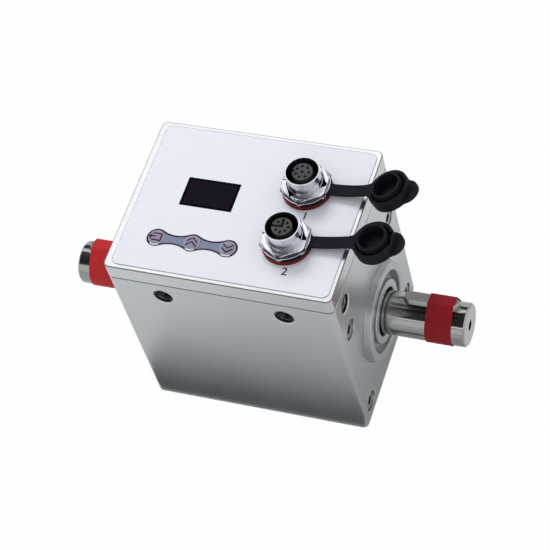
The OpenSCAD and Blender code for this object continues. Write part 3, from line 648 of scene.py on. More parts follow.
@dataclass(frozen=True)
class Winding:
    """Turns of fine wire laid side by side along X."""

    name: str
    colour: Colour
    gap: Colour
    axis_z: float
    wire: float = 0.32 * MM

    def build(self) -> bpy.types.Material:
        """Sets out the finish.

        Returns:
            The material.
        """
        s = Shader(self.name)
        at = s.place((0, 0, self.axis_z))
        x = s.axes(at)[0]
        turns = (x * (2 * math.pi / self.wire)).sine() * 0.5 + 0.5
        # Painted shade: the gap colour darkens the grooves between the turns.
        return s.surface(Base_Color=s.mix(turns, self.gap, self.colour), Metallic=0.4,
                         Roughness=0.35 + s.noise(at, 900.0) * 0.15,
                         Normal=s.bump(turns, 0.05 * MM))


@dataclass(frozen=True)
class Glint:
    """Clear domed film over a print, with a painted highlight as a lighter ring round its edge.
    """

    name: str
    colour: Colour
    tint: Colour
    centre: Point
    radius: float

    def build(self) -> bpy.types.Material:
        """Sets out the finish.

        Returns:
            The material.
        """
        s = Shader(self.name)
        at = s.place(self.centre)
        x, y, _ = s.axes(at)
        # Painted highlight: the tint colour lightens a ring round the dome's edge.
        rim = (x * x + y * y).root().ramp(0.86 * self.radius, 0.97 * self.radius)
        cloud = s.noise(at, 700.0, 3.0)
        return s.surface(Base_Color=s.mix(rim * 0.8 + cloud * 0.15, self.colour, self.tint),
                         Roughness=0.4 + cloud * 0.08, Specular_IOR_Level=0.06,
                         Normal=s.bump(cloud, 0.01 * MM))


# Bench work with Blender's operators


class Bench:
    """Modelling steps shared by every sub-assembly."""

    @staticmethod
    def pick(*things: bpy.types.Object) -> None:
        """Deselects everything, then selects these, the last one active."""
        if bpy.context.object and bpy.context.object.mode != "OBJECT":
            bpy.ops.object.mode_set(mode="OBJECT")
        bpy.ops.object.select_all(action="DESELECT")
        for thing in things:
            thing.select_set(True)
            bpy.context.view_layer.objects.active = thing

    @staticmethod
    @contextmanager
    def editing(thing: bpy.types.Object, mode: str = "FACE") -> Iterator[None]:
        """Edit mode on one object with all of it selected.

        Args:
            thing: The object.
            mode: What is selected: VERT, EDGE or FACE.

        Yields:
            Nothing.
        """
        Bench.pick(thing)
        bpy.ops.object.mode_set(mode="EDIT")
        bpy.ops.mesh.select_mode(type=mode)
        bpy.ops.mesh.select_all(action="SELECT")
        yield
        bpy.ops.object.mode_set(mode="OBJECT")

    @staticmethod
    def added(name: str) -> bpy.types.Object:
        """Names the object that an operator has just added.

        Args:
            name: The object's name.

        Returns:
            The object.
        """
        thing = bpy.context.object
        thing.name = name
        thing.data.name = name
        return thing

    @staticmethod
    def settle(thing: bpy.types.Object) -> bpy.types.Object:
        """Moves an object's place, turn and scale into its mesh.

        Args:
            thing: The object.

        Returns:
            The same object.
        """
        Bench.pick(thing)
        bpy.ops.object.transform_apply(location=True, rotation=True, scale=True)
        return thing

    @staticmethod
    def modify(thing: bpy.types.Object, kind: str, **settings: object) -> None:
        """Adds a modifier and applies it.

        Args:
            thing: The object.
            kind: The modifier's type.
            **settings: Its properties.
        """
        Bench.pick(thing)
        made = thing.modifiers.new(kind.lower(), kind)
        for key, value in settings.items():
            setattr(made, key, value)
        bpy.ops.object.modifier_apply(modifier=made.name)

    @staticmethod
    def smooth(thing: bpy.types.Object, degrees: float = 35.0) -> None:
        """Shades smooth except where faces meet at more than an angle."""
        Bench.pick(thing)
        bpy.ops.object.shade_smooth_by_angle(angle=math.radians(degrees))

    @staticmethod
    def eased(node: str, width: float, material: bpy.types.Material, segments: int = 2,
              angle: float = 28.0, clamp: bool = False) -> bpy.types.Object:
        """Copies a CAD node and rounds its sharp edges. The copy stands for the node.

        Args:
            node: The CAD node.
            width: The edge's width.
            material: The copy's material.
            segments: Faces across the edge.
            angle: The smallest fold, in degrees, that counts as an edge.
            clamp: Whether an edge narrows where it would run into another.

        Returns:
            The copy.
        """
        source = bpy.data.objects[node]
        thing = bpy.data.objects.new(f"{node}_eased", source.data.copy())
        bpy.context.scene.collection.objects.link(thing)
        Bench.pick(thing)
        bpy.ops.mesh.customdata_custom_splitnormals_clear()
        with Bench.editing(thing):
            bpy.ops.mesh.remove_doubles(threshold=WELD)
            bpy.ops.mesh.dissolve_limited(angle_limit=LEVEL)
        Bench.modify(thing, "BEVEL", width=width, segments=segments, limit_method="ANGLE",
                     angle_limit=math.radians(angle), use_clamp_overlap=clamp,
                     miter_outer="MITER_SHARP", harden_normals=False)
        Bench.smooth(thing)
        Bench.modify(thing, "WEIGHTED_NORMAL", keep_sharp=True)
        Bench.dress(thing, material)
        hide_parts(node)
        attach(thing, source["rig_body"])
        report(thing.name)
        return thing

    @staticmethod
    def stroke(name: str, points: Sequence[Point], radius: float,
               closed: bool = False) -> bpy.types.Object:
        """Draws a round line through points and makes it a mesh.

        Args:
            name: The line's name.
            points: Its points.
            radius: Its half width.
            closed: Whether it returns to its start.

        Returns:
            The mesh object.
        """
        line = bpy.data.curves.new(name, "CURVE")
        line.dimensions = "3D"
        line.bevel_depth = radius
        line.bevel_resolution = 1
        line.use_fill_caps = not closed
        spline = line.splines.new("POLY")
        spline.points.add(len(points) - 1)
        for spot, place in zip(spline.points, points):
            spot.co = (*place, 1.0)
        spline.use_cyclic_u = closed
        thing = bpy.data.objects.new(name, line)
        bpy.context.scene.collection.objects.link(thing)
        Bench.pick(thing)
        bpy.ops.object.convert(target="MESH")
        return Bench.added(name)

    @staticmethod
    def join(name: str, *things: bpy.types.Object) -> bpy.types.Object:
        """Joins meshes into one object.

        Args:
            name: The object's name.
            *things: The meshes.

        Returns:
            The object.
        """
        Bench.pick(*things)
        if len(things) > 1:
            bpy.ops.object.join()
        return Bench.added(name)

    @staticmethod
    def dress(thing: bpy.types.Object, material: bpy.types.Material) -> None:
        """Gives an object one material all over."""
        thing.data.materials.clear()
        thing.data.materials.append(material)

    @staticmethod
    def keep(node: str, material: bpy.types.Material) -> None:
        """Dresses a CAD node that stays as the frame has it."""
        Bench.dress(bpy.data.objects[node], material)
        report(node)

    @staticmethod
    def fit(thing: bpy.types.Object, material: bpy.types.Material, body: str,
            slot: str) -> None:
        """Dresses a new piece and fits it to what carries it.

        Args:
            thing: The piece.
            material: Its material.
            body: The body that it rides on.
            slot: Not used.
        """
        Bench.dress(thing, material)
        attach(thing, body)
        report(thing.name)


def report(piece: str) -> None:
    """Logs that a piece is done."""
    LOG.info("built %s", piece)


def middle(node: str) -> Vector:
    """The middle of a CAD node's box."""
    low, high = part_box(node)
    return (low + high) / 2


def rounded_loop(low: Vector, high: Vector, radius: float, z: float) -> list[Point]:
    """Points round a rectangle with rounded corners.

    Args:
        low: Its lower corner.
        high: Its upper corner.
        radius: The corners' radius.
        z: Its height.

    Returns:
        The points, anticlockwise.
    """
    points: list[Point] = []
    steps = 7
    corners = ((high.x, high.y, -1, -1), (low.x, high.y, 1, -1), (low.x, low.y, 1, 1),
               (high.x, low.y, -1, 1))
    for n, (x, y, sx, sy) in enumerate(corners):
        for k in range(steps + 1):
            a = math.pi / 2 * (n + k / steps)
            points.append((x + sx * radius + radius * math.cos(a),
                           y + sy * radius + radius * math.sin(a), z))
    return points


def circle(x: float, y: float, z: float, radius: float, steps: int = 60) -> list[Point]:
    """Points round an upright axis.

    Args:
        x: The axis's place along X.
        y: The axis's place along Y.
        z: The points' height.
        radius: The circle's radius.
        steps: How many points there are.

    Returns:
        The points, anticlockwise.
    """
    turns = (2 * math.pi * k / steps for k in range(steps))
    return [(x + radius * math.cos(a), y + radius * math.sin(a), z) for a in turns]


def shaft_height() -> float:
    """The height of the shaft's axis."""
    return middle("bearing_left_outer_ring").z


# Sub-assemblies


@dataclass
class Housing:
    """The block, its cover, the gasket and the tapped fixing holes."""

    edge: float = 0.35 * MM
    cover_edge: float = 0.4 * MM
    hole_z: float = 86 * MM
    hole_step: float = 28 * MM
    hole_r: float = 3.4 * MM
    hole_depth: float = 9.0 * MM
    mouth_r: float = 4.8 * MM
    mouth_rim: float = 0.42 * MM
    thread_pitch: float = 1.25 * MM
    thread_depth: float = 0.45 * MM
    # The fine dark line under the cover plate's bright edge is painted shade.
    joint_drop: float = 0.46 * MM
    joint_r: float = 0.13 * MM
    joint_corner: float = 2.4 * MM
    joint_sink: float = 0.85
    ridge_half: float = 0.49
    root_gap: float = 0.01 * MM
    run_out: float = 1.6 * MM
    mouth_wave: tuple[float, ...] = (0.01, 0.17, 0.02, 0.17, 0.02, 0.15, 0.02)
    # Painted shade: each finish darkens from its head colour above to its foot colour below.
    block_finish: SatinAluminium = SatinAluminium(
        "satin_block", (0.61, 0.635, 0.65), (0.49, 0.52, 0.535))
    cover_finish: SatinAluminium = SatinAluminium(
        "satin_cover", (0.86, 0.87, 0.88), (0.64, 0.67, 0.68), 104.2 * MM, 103 * MM, 0.30)

    def build(self) -> None:
        """Dresses the shell and cuts its threads."""
        self.block()
        self.cover()
        self.gasket()
        self.plate_joint()
        self.threads()

    def plate_joint(self) -> None:
        """Draws a fine dark line of painted shade just under the cover plate's bright edge."""
        low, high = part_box("top_cover")
        inset = Vector((self.joint_r, self.joint_r, 0)) * self.joint_sink
        points = rounded_loop(low + inset, high - inset, self.joint_corner,
                              high.z - self.joint_drop)
        thing = Bench.stroke("plate_joint_line", points, self.joint_r, True)
        shadow = Moulded("joint_shadow", (0.03, 0.032, 0.035), (0.05, 0.052, 0.055), 0.6,
                         gloss=0.1)
        Bench.fit(thing, shadow.build(), "housing", "gasket")

    def block(self) -> None:
        """Eases and dresses the block."""
        Bench.eased("housing_body", self.edge, self.block_finish.build())

    def cover(self) -> None:
        """Eases and dresses the cover."""
        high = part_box("top_cover")[1]
        finish = replace(self.cover_finish, rim_half=(high.x, high.y))
        Bench.eased("top_cover", self.cover_edge, finish.build(), 3)

    def gasket(self) -> None:
        """Dresses the gasket in the joint."""
        finish = Moulded("gasket_sheet", (0.10, 0.103, 0.106), (0.15, 0.153, 0.156), 0.7)
        Bench.keep("cover_gasket", finish.build())

    def thread(self, name: str) -> bpy.types.Object:
        """One hole's thread, opening towards +Z with its mouth at the origin.

        Args:
            name: The thread's name.

        Returns:
            The thread.
        """
        crest, root = self.hole_r - self.thread_depth, self.hole_r - self.root_gap
        half = self.thread_pitch * self.ridge_half
        bpy.ops.mesh.primitive_circle_add(vertices=3, radius=half, location=(0, 0, 0))
        thing = Bench.added(name)
        corners = ((root, -half), (crest, 0.0), (root, half))
        for vertex, (out, up) in zip(thing.data.vertices, corners):
            vertex.co = (out, 0.0, up - self.hole_depth)
        turns = int((self.hole_depth - self.run_out) / self.thread_pitch)
        Bench.modify(thing, "SCREW", screw_offset=self.thread_pitch, iterations=turns,
                     steps=28, render_steps=28, use_merge_vertices=False)
        thing = Bench.join(name, self.mouth(), thing)
        with Bench.editing(thing):
            bpy.ops.mesh.normals_make_consistent(inside=False)
        Bench.smooth(thing, 50)
        return thing

    def mouth(self) -> bpy.types.Object:
        """The thread's first turns, where they run out in the hole's countersink.

        Returns:
            A ring at the hole's mouth.
        """
        start = self.mouth_r - self.mouth_rim
        fall = (start - self.hole_r) / (len(self.mouth_wave) - 1)
        slant = MM * math.sqrt(0.5)
        points = [(start - k * fall - h * slant, 0.0, start - k * fall - self.mouth_r + h * slant)
                  for k, h in enumerate(self.mouth_wave)]
        thing = Bench.stroke("thread_mouth", points, 0.0)
        Bench.modify(thing, "SCREW", screw_offset=0.0, iterations=1, steps=40, render_steps=40,
                     use_merge_vertices=False)
        return thing

    def threads(self) -> None:
        """Copies the thread into every fixing hole of the four sides, painted near black as
        shade.
        """
        # Painted shade: the thread is near black to stand for the shade inside each hole.
        finish = TurnedMetal("thread_metal", (0.035, 0.036, 0.038), 0.25, self.hole_z)
        material = finish.build()
        low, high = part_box("housing_body")
        first = self.thread("thread_master")
        quarter = math.pi / 2
        places: list[tuple[str, tuple[float, float], Matrix]] = []
        for word, s in (("near", -1), ("far", 1)):
            side = s * self.hole_step
            places += [(f"front_{word}", (side, low.y), Matrix.Rotation(quarter, 4, "X")),
                       (f"back_{word}", (side, high.y), Matrix.Rotation(-quarter, 4, "X")),
                       (f"right_{word}", (high.x, side), Matrix.Rotation(quarter, 4, "Y")),
                       (f"left_{word}", (low.x, side), Matrix.Rotation(-quarter, 4, "Y"))]
        for word, place, turn in places:
            thing = bpy.data.objects.new(f"fixing_thread_{word}", first.data.copy())
            bpy.context.scene.collection.objects.link(thing)
            thing.data.transform(Matrix.Translation((*place, self.hole_z)) @ turn)
            Bench.fit(thing, material, "housing", "aluminium")
        bpy.data.objects.remove(first)


@dataclass
class Panel:
    """The label, the display and what is printed on the label."""

    edge: float = 0.08 * MM
    window_edge: float = 0.12 * MM
    window_lip: float = 1.8 * MM
    line_r: float = 0.10 * MM
    corner_r: float = 3.0 * MM
    number_h: float = 5.4 * MM
    number_grow: float = 0.07 * MM
    number_drop: float = 14.0 * MM
    number_side: float = 3.2 * MM
    number_t: float = 0.01 * MM
    line_sink: float = 0.3
    ink: Colour = (0.018, 0.018, 0.026)

    def build(self) -> None:
        """Dresses the panel."""
        self.label()
        self.window()
        self.border()
        self.numbers()

    def label(self) -> None:
        """Eases and dresses the label."""
        Bench.eased("panel_label", self.edge, LabelFilm().build())

    def window(self) -> None:
        """Eases the display window and gives it its dark filter."""
        low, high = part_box("display_window")
        half = ((high.x - low.x) / 2 - self.window_lip, (high.y - low.y) / 2 - self.window_lip)
        finish = Filter(middle("display_window")[:], half)
        Bench.eased("display_window", self.window_edge, finish.build())

    def border(self) -> None:
        """Draws the fine grey edge of the label film."""
        low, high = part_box("panel_label")
        points = rounded_loop(low, high, self.corner_r, high.z - self.line_sink * self.line_r)
        thing = Bench.stroke("label_edge_line", points, self.line_r, True)
        finish = Moulded("cut_film_edge", (0.40, 0.41, 0.45), (0.46, 0.47, 0.52), 0.5,
                         gloss=0.05)
        Bench.fit(thing, finish.build(), "housing", "label")

    def numbers(self) -> None:
        """Prints a plain number beside each connector."""
        material = Moulded("printed_ink", self.ink, (0.03, 0.03, 0.04), 0.6, gloss=0.02).build()
        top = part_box("panel_label")[1].z
        for port in Port:
            spot = middle(f"connector_{port.number}_seal")
            bpy.ops.object.text_add(location=(0, 0, 0))
            thing = Bench.added(f"port_number_{port.number}")
            thing.data.body = str(port.number)
            thing.data.size = self.number_h
            thing.data.align_x = thing.data.align_y = "CENTER"
            thing.data.extrude = self.number_t
            thing.data.offset = self.number_grow
            thing.location = (spot.x + self.number_side, spot.y - self.number_drop,
                              top + self.number_t / 2)
            Bench.pick(thing)
            bpy.ops.object.convert(target="MESH")
            Bench.fit(Bench.settle(bpy.context.object), material, "housing", "label")


@dataclass
class Keypad:
    """The film keypad: frame, printed outline, raised rim, domes and signs."""

    pitch: float = 16.5 * MM
    end_r: float = 4.4 * MM
    waist: float = 2.3 * MM
    outline_r: float = 0.30 * MM
    rim_r: float = 0.16 * MM
    rim_gap: float = 0.1 * MM
    sign_r: float = 0.38 * MM
    # Where each button's painted glint is drawn.
    lip_r: float = 0.27 * MM
    lip_gap: float = 0.3 * MM
    lip_rise: float = 0.24 * MM
    lip_start: float = -118.0
    lip_step: float = 5.0
    lip_points: int = 13
    button_r: float = 3.65 * MM
    button_edge: float = 0.08 * MM
    dome_rise: float = 0.6 * MM
    curve_steps: int = 14
    line_steps: int = 6
    sign_sink: float = 0.4
    film: Colour = (0.205, 0.235, 0.345)
    film_bloom: Colour = (0.22, 0.245, 0.355)
    dome: Colour = (0.265, 0.245, 0.34)
    # The colour of the painted highlight round each dome's edge.
    tint: Colour = (0.42, 0.41, 0.50)
    line: Colour = (0.042, 0.012, 0.030)
    line_bloom: Colour = (0.06, 0.02, 0.045)

    def build(self) -> None:
        """Dresses the keypad."""
        self.frame()
        self.outlines()
        for key in Key:
            self.button(key)

    def frame(self) -> None:
        """Eases and dresses the frame's film."""
        finish = Moulded("keypad_film", self.film, self.film_bloom, 0.5, 2400.0, gloss=0.06)
        Bench.eased("keypad_frame", self.button_edge, finish.build())

    def ink(self, name: str) -> bpy.types.Material:
        """The dark printing ink."""
        return Moulded(name, self.line, self.line_bloom, 0.6, gloss=0.02).build()

    def edge(self, grow: float, z: float) -> list[Point]:
        """The bone-shaped outline, grown by a distance.

        Args:
            grow: How far outside the frame it runs.
            z: Its height.

        Returns:
            Points round the outline.
        """
        r, w = self.end_r + grow, self.waist + grow
        half = self.pitch / 2
        hollow = (half * half + w * w - r * r) / (2 * (r - w))
        lift = w + hollow
        meet = math.atan2(lift, half)
        centre = middle("keypad_frame")

        def arc(x: float, y: float, radius: float, a: float, b: float) -> list[Flat]:
            """Points on an arc."""
            turns = (a + (b - a) * i / self.curve_steps for i in range(self.curve_steps + 1))
            return [(x + radius * math.cos(turn), y + radius * math.sin(turn)) for turn in turns]

        upper = (arc(-self.pitch, 0, r, math.pi, meet)
                 + arc(-half, lift, hollow, math.pi + meet, 2 * math.pi - meet)
                 + arc(0, 0, r, math.pi - meet, meet)
                 + arc(half, lift, hollow, math.pi + meet, 2 * math.pi - meet)
                 + arc(self.pitch, 0, r, math.pi - meet, 0))
        lower = [(x, -y) for x, y in reversed(upper[1:-1])]
        return [(centre.x + x, centre.y + y, z) for x, y in upper + lower]

    def outlines(self) -> None:
        """Draws the dark printed outline and the raised rim of the label round it."""
        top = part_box("keypad_frame")[1].z
        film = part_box("panel_label")[1].z
        bright = Moulded("embossed_rim", (0.88, 0.89, 0.93), (0.92, 0.93, 0.96), 0.25, coat=0.3)
        for name, grow, z, radius, material, slot in (
                ("keypad_outline", -self.outline_r, top, self.outline_r,
                 self.ink("outline_ink"), "keypad"),
                ("keypad_rim", self.rim_r + self.rim_gap, film, self.rim_r,
                 bright.build(), "label")):
            thing = Bench.stroke(name, self.edge(grow, z), radius, True)
            Bench.smooth(thing, 60)
            Bench.fit(thing, material, "housing", slot)

    @staticmethod
    def sign(key: Key) -> list[list[Flat]]:
        """The lines of a button's sign, in shares of the button's radius.

        Args:
            key: The button.

        Returns:
            A box open on the left with an arrow that comes out of it, or two chevrons, one
            above the other, that point up or down.
        """
        if key is Key.ENTER:
            return [[(-0.50, 0.46), (0.60, 0.46), (0.60, -0.46), (-0.50, -0.46)],
                    [(-0.05, 0.0), (-0.88, 0.0)],
                    [(-0.58, 0.25), (-0.88, 0.0), (-0.58, -0.25)]]
        way = 1 if key is Key.UP else -1
        return [[(-0.66, way * (low - 0.30)), (0.0, way * (low + 0.26)),
                 (0.66, way * (low - 0.30))] for low in (0.36, -0.20)]

    def lip(self, key: Key) -> None:
        """Draws a painted glint: a bright arc where the film drops round a button's front.

        Args:
            key: The button.
        """
        centre, z = middle(key.node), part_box("keypad_frame")[1].z + self.lip_rise
        reach = self.button_r + self.lip_gap
        turns = (math.radians(self.lip_start + self.lip_step * k)
                 for k in range(self.lip_points))
        points = [(centre.x + reach * math.cos(a), centre.y + reach * math.sin(a), z)
                  for a in turns]
        thing = Bench.stroke(f"{key.node}_lip", points, self.lip_r)
        Bench.smooth(thing, 60)
        # Painted highlight: the arc is near white, standing for light caught on the film's edge.
        bright = Moulded(f"{key.node}_film_edge", (0.80, 0.81, 0.86), (0.90, 0.90, 0.94), 0.25)
        Bench.fit(thing, bright.build(), "housing", "keypad")

    def button(self, key: Key) -> None:
        """Dresses one button and draws its sign on the dome.

        Args:
            key: The button.
        """
        centre, top = middle(key.node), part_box(key.node)[1].z
        radius = self.button_r
        ball = (radius * radius + self.dome_rise ** 2) / (2 * self.dome_rise)
        Bench.keep(key.node, Glint(f"{key.node}_film", self.dome, self.tint,
                                   (centre.x, centre.y, top), radius).build())

        def onto(x: float, y: float) -> Point:
            """A point of the sign, laid on the dome."""
            drop = ball - math.sqrt(ball * ball - (x * x + y * y) * radius * radius)
            return (centre.x + x * radius, centre.y + y * radius,
                    top - drop - self.sign_sink * self.sign_r)

        strokes = []
        for n, line in enumerate(self.sign(key)):
            points = []
            for (x0, y0), (x1, y1) in zip(line, line[1:]):
                shares = (k / self.line_steps for k in range(self.line_steps))
                points += [onto(x0 + (x1 - x0) * t, y0 + (y1 - y0) * t) for t in shares]
            points.append(onto(*line[-1]))
            strokes.append(Bench.stroke(f"{key.node}_line_{n}", points, self.sign_r))
        self.lip(key)
        Bench.fit(Bench.join(f"{key.node}_sign", *strokes), self.ink(f"{key.node}_ink"),
                  key.node, "keypad")


@dataclass
class Connector:
    """One panel connector with its open sealing cap."""

    port: Port
    bore_r: float = 7.15 * MM
    shell_edge: float = 0.12 * MM
    nut_edge: float = 0.16 * MM
    insert_edge: float = 0.07 * MM
    cap_edge: float = 0.22 * MM
    flats: tuple[float, float] = (0.95 * MM, 0.5 * MM)
    rim_r: float = 7.42 * MM
    rim_cord: float = 0.2 * MM
    ring_r: float = 10.45 * MM
    ring_cord: float = 0.45 * MM
    ring_slack: tuple[float, float] = (0.7 * MM, -0.35 * MM)

    def node(self, part: str) -> str:
        """The CAD node of a part."""
        return f"connector_{self.port.number}_{part}"

    def build(self) -> None:
        """Dresses the connector."""
        self.metal()
        self.insides()
        self.rubber()

    def metal(self) -> None:
        """The plated shell and nut, and the rolled rim of the barrel's mouth, painted white as a
        highlight.
        """
        n, spot = self.port.number, middle(self.node("seal"))
        # The shell's bore is painted black as shade.
        plate = BrightPlate(f"plated_shell_{n}", centre=(spot.x, spot.y, 0), lining_r=self.bore_r)
        Bench.eased(self.node("shell"), self.shell_edge, plate.build())
        low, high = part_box(self.node("nut"))
        # The nut's flats get a painted dark reflection.
        plate = BrightPlate(f"plated_nut_{n}", flats=(low.z + self.flats[0],
                                                      high.z - self.flats[1]))
        Bench.eased(self.node("nut"), self.nut_edge, plate.build())
        rim_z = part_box(self.node("shell"))[1].z - self.rim_cord
        rim = Bench.stroke(f"barrel_rim_{n}", circle(spot.x, spot.y, rim_z, self.rim_r),
                           self.rim_cord, True)
        Bench.smooth(rim, 80)
        # Painted highlight: the rim is a near-white, barely metallic stroke.
        bright = TurnedMetal(f"rim_plate_{n}", (0.94, 0.945, 0.97), 0.3, 0.0, metallic=0.1)
        Bench.fit(rim, bright.build(), "housing", "chrome")

    def insides(self) -> None:
        """The insert, and the contacts seen in its holes."""
        n = self.port.number
        plastic = Moulded(f"insert_{n}", (0.060, 0.060, 0.066), (0.085, 0.085, 0.092), 0.5,
                          gloss=0.15)
        Bench.eased(self.node("insert"), self.insert_edge, plastic.build())
        brass = TurnedMetal(f"contact_brass_{n}", (0.72, 0.55, 0.26), 0.3, 0.0)
        Bench.keep(self.node("contacts"), brass.build())

    def rubber(self) -> None:
        """The seal ring, the cap with its strap, and the rolled edge of the cap's ring."""
        n, spot = self.port.number, middle(self.node("seal"))
        red = Moulded(f"seal_rubber_{n}", (0.22, 0.007, 0.009), (0.28, 0.012, 0.013), 0.4, 1800.0,
                      gloss=0.15)
        Bench.keep(self.node("seal"), red.build())
        black = Moulded(f"cap_rubber_{n}", (0.010, 0.010, 0.016), (0.016, 0.016, 0.024), 0.48,
                        2200.0, 0.010 * MM, gloss=0.06).build()
        Bench.eased(self.node("cap"), self.cap_edge, black, 3, angle=40, clamp=True)
        points = circle(spot.x + self.ring_slack[0], spot.y + self.ring_slack[1],
                        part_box(self.node("seal"))[1].z + self.ring_cord, self.ring_r)
        edge = Bench.stroke(f"cap_ring_edge_{n}", points, self.ring_cord, True)
        Bench.smooth(edge, 80)
        Bench.fit(edge, black, "housing", "cap")


@dataclass
class TapeWrap:
    """Red tape wound round the shaft and the key at one end."""

    side: Side
    colour: Colour
    deep: Colour
    thickness: float = 0.32 * MM
    clear: float = 0.06 * MM
    rings: int = 13
    fin: float = 1.7 * MM
    fin_root: float = 0.4 * MM
    fin_bow: tuple[float, float] = (0.3 * MM, 0.1 * MM)
    fold: float = 0.5 * MM
    flare: float = 0.8 * MM
    droop_z: float = 9.6 * MM
    droop_h: float = 2 * MM
    crease: float = 0.10 * MM
    cut_edge: float = 0.07 * MM
    shaft_r: float = 10 * MM
    key_half: float = 3 * MM
    key_top: float = 12.52 * MM
    curve_steps: int = 30

    def outline(self, lift: float) -> list[Flat]:
        """The tape's run round shaft and key, with the key upright.

        Args:
            lift: How far the run stands off the metal.

        Returns:
            Points across and along the key's direction, from the lower seam round to it.
        """
        r, half, top = self.shaft_r + lift, self.key_half + lift * 0.6, self.key_top + lift
        lean = math.atan2(half, top) + math.acos(r / math.hypot(half, top))
        turns = (math.pi - (math.pi - lean) * i / self.curve_steps
                 for i in range(self.curve_steps + 1))
        left = [(-r * math.sin(a), r * math.cos(a)) for a in turns]
        slope = [(left[-1][0] * (1 - t) - half * t, left[-1][1] * (1 - t) + top * t)
                 for t in (0.25, 0.5, 0.75, 1.0)]
        crown = [(half * (t * 2 - 1), top) for t in (0.2, 0.5, 0.8)]
        run = left + slope + crown
        return run + [(-x, z) for x, z in reversed(left + slope)]

    def build(self, axis_z: float, turn: float) -> None:
        """Winds the tape.

        Args:
            axis_z: Height of the shaft's axis.
            turn: Turn of the key about the shaft, in radians.
        """
        node = f"key_tape_{self.side.word}"
        low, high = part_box(node)
        run = self.outline(self.clear)
        x0, z0 = run[0]
        fin = [(x0 + self.fin_bow[0], z0 - self.fin), (x0 + self.fin_bow[1], z0 - self.fin_root)]
        path = fin + run + [(x - self.fold, z) for x, z in reversed(fin)]
        thing = Bench.stroke(f"wound_tape_{self.side.word}", [(0.0, x, z) for x, z in path], 0.0)
        width = high.x - low.x
        with Bench.editing(thing, "EDGE"):
            for _ in range(self.rings):
                bpy.ops.mesh.extrude_region_move(
                    TRANSFORM_OT_translate={"value": (width / self.rings, 0, 0)})
            bpy.ops.mesh.select_all(action="SELECT")
            bpy.ops.mesh.normals_make_consistent(inside=False)
        self.rumple(thing, width)
        Bench.modify(thing, "SOLIDIFY", thickness=self.thickness, offset=1.0)
        Bench.modify(thing, "BEVEL", width=self.cut_edge, segments=1, limit_method="ANGLE",
                     angle_limit=math.radians(50), use_clamp_overlap=False)
        place = Matrix.Translation((low.x, 0, axis_z)) @ Matrix.Rotation(turn, 4, "X")
        thing.data.transform(place)
        Bench.smooth(thing, 40 if self.side is Side.RIGHT else 80)
        finish = WoundTape(f"tape_{self.side.word}", self.colour, self.deep, axis_z)
        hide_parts(node)
        Bench.fit(thing, finish.build(), "shaft", "tape")

    def rumple(self, thing: bpy.types.Object, width: float) -> None:
        """Creases the tape lightly and lets its loose ends stick out at the seam.

        Args:
            thing: The tape, with its first edge at X = 0.
            width: Its width.
        """
        for vertex in thing.data.vertices:
            x, y, z = vertex.co
            share = 2 * x / width - 1
            below = max(0.0, (-z - self.droop_z) / self.droop_h)
            wave = math.sin(1.7 * x / MM + 9 * y / (10 * MM)) * math.sin(0.9 * z / MM + 2.0)
            radius = math.hypot(y, z)
            out = 1 + self.crease * (wave * 0.5 + 0.5) / radius
            vertex.co = (x + share * self.flare * below, y * out, z * out)


@dataclass
class Drive:
    """The shaft, its keys and the tape that holds them."""

    axis_z: float = field(default_factory=shaft_height)
    key_turn: float = math.radians(-14)
    edge: float = 0.14 * MM
    key_edge: float = 0.35 * MM
    seat_r: float = 0.28 * MM
    seat_half: float = 3.05 * MM
    key_half: float = 3 * MM
    shaft_r: float = 10 * MM
    centre_r: float = 2.35 * MM
    hub_shade: float = 0.3 * MM
    seat_steps: int = 15

    def build(self) -> None:
        """Dresses all that turns with the shaft and can be seen."""
        # Painted shade: the shaft's centre hole and its length inside the hub are painted black.
        ground = TurnedMetal("ground_steel", (0.36, 0.36, 0.355), 0.13, self.axis_z,
                             tip_x=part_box("torsion_shaft")[1].x, centre_r=self.centre_r,
                             shade_x=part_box("bearing_cover_right")[1].x - self.hub_shade)
        Bench.eased("torsion_shaft", self.edge, ground.build())
        bright = TurnedMetal("key_steel", (0.54, 0.545, 0.54), 0.33, self.axis_z).build()
        # Painted shade: the same red tape is given darker colours on the right, where it stands
        # in shade.
        lit_and_shaded_reds = {Side.RIGHT: ((0.36, 0.008, 0.014), (0.17, 0.004, 0.008)),
                Side.LEFT: ((0.60, 0.022, 0.028), (0.44, 0.015, 0.020))}
        for side in Side:
            Bench.eased(f"shaft_key_{side.word}", self.key_edge, bright, 3)
            self.seat(side)
            TapeWrap(side, *lit_and_shaded_reds[side]).build(self.axis_z, self.key_turn)

    def seat(self, side: Side) -> None:
        """Paints shade as a dark line where a key's side meets its keyway, round the inner end.

        Args:
            side: The end of the shaft.
        """
        low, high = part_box(f"shaft_key_{side.word}")
        s = side.value
        tail, head = (low.x, high.x) if s > 0 else (high.x, low.x)
        half = self.seat_half
        flat = [(head - s * self.key_half, -half)]
        flat += [(tail + s * (self.key_half - half * math.cos(a)), half * math.sin(a))
                 for a in (math.pi * (k / self.seat_steps - 0.5)
                           for k in range(self.seat_steps + 1))]
        flat.append((head - s * self.key_half, half))
        place = (Matrix.Translation((0, 0, self.axis_z))
                 @ Matrix.Rotation(self.key_turn, 4, "X"))
        points = [(place @ Vector((x, y, math.sqrt(self.shaft_r ** 2 - y * y))))[:]
                  for x, y in flat]
        dark = Moulded(f"key_joint_{side.word}", (0.008, 0.008, 0.008), (0.014, 0.014, 0.013),
                       0.5, gloss=0.1)
        Bench.fit(Bench.stroke(f"key_joint_{side.word}", points, self.seat_r), dark.build(),
                  "shaft", "steel")


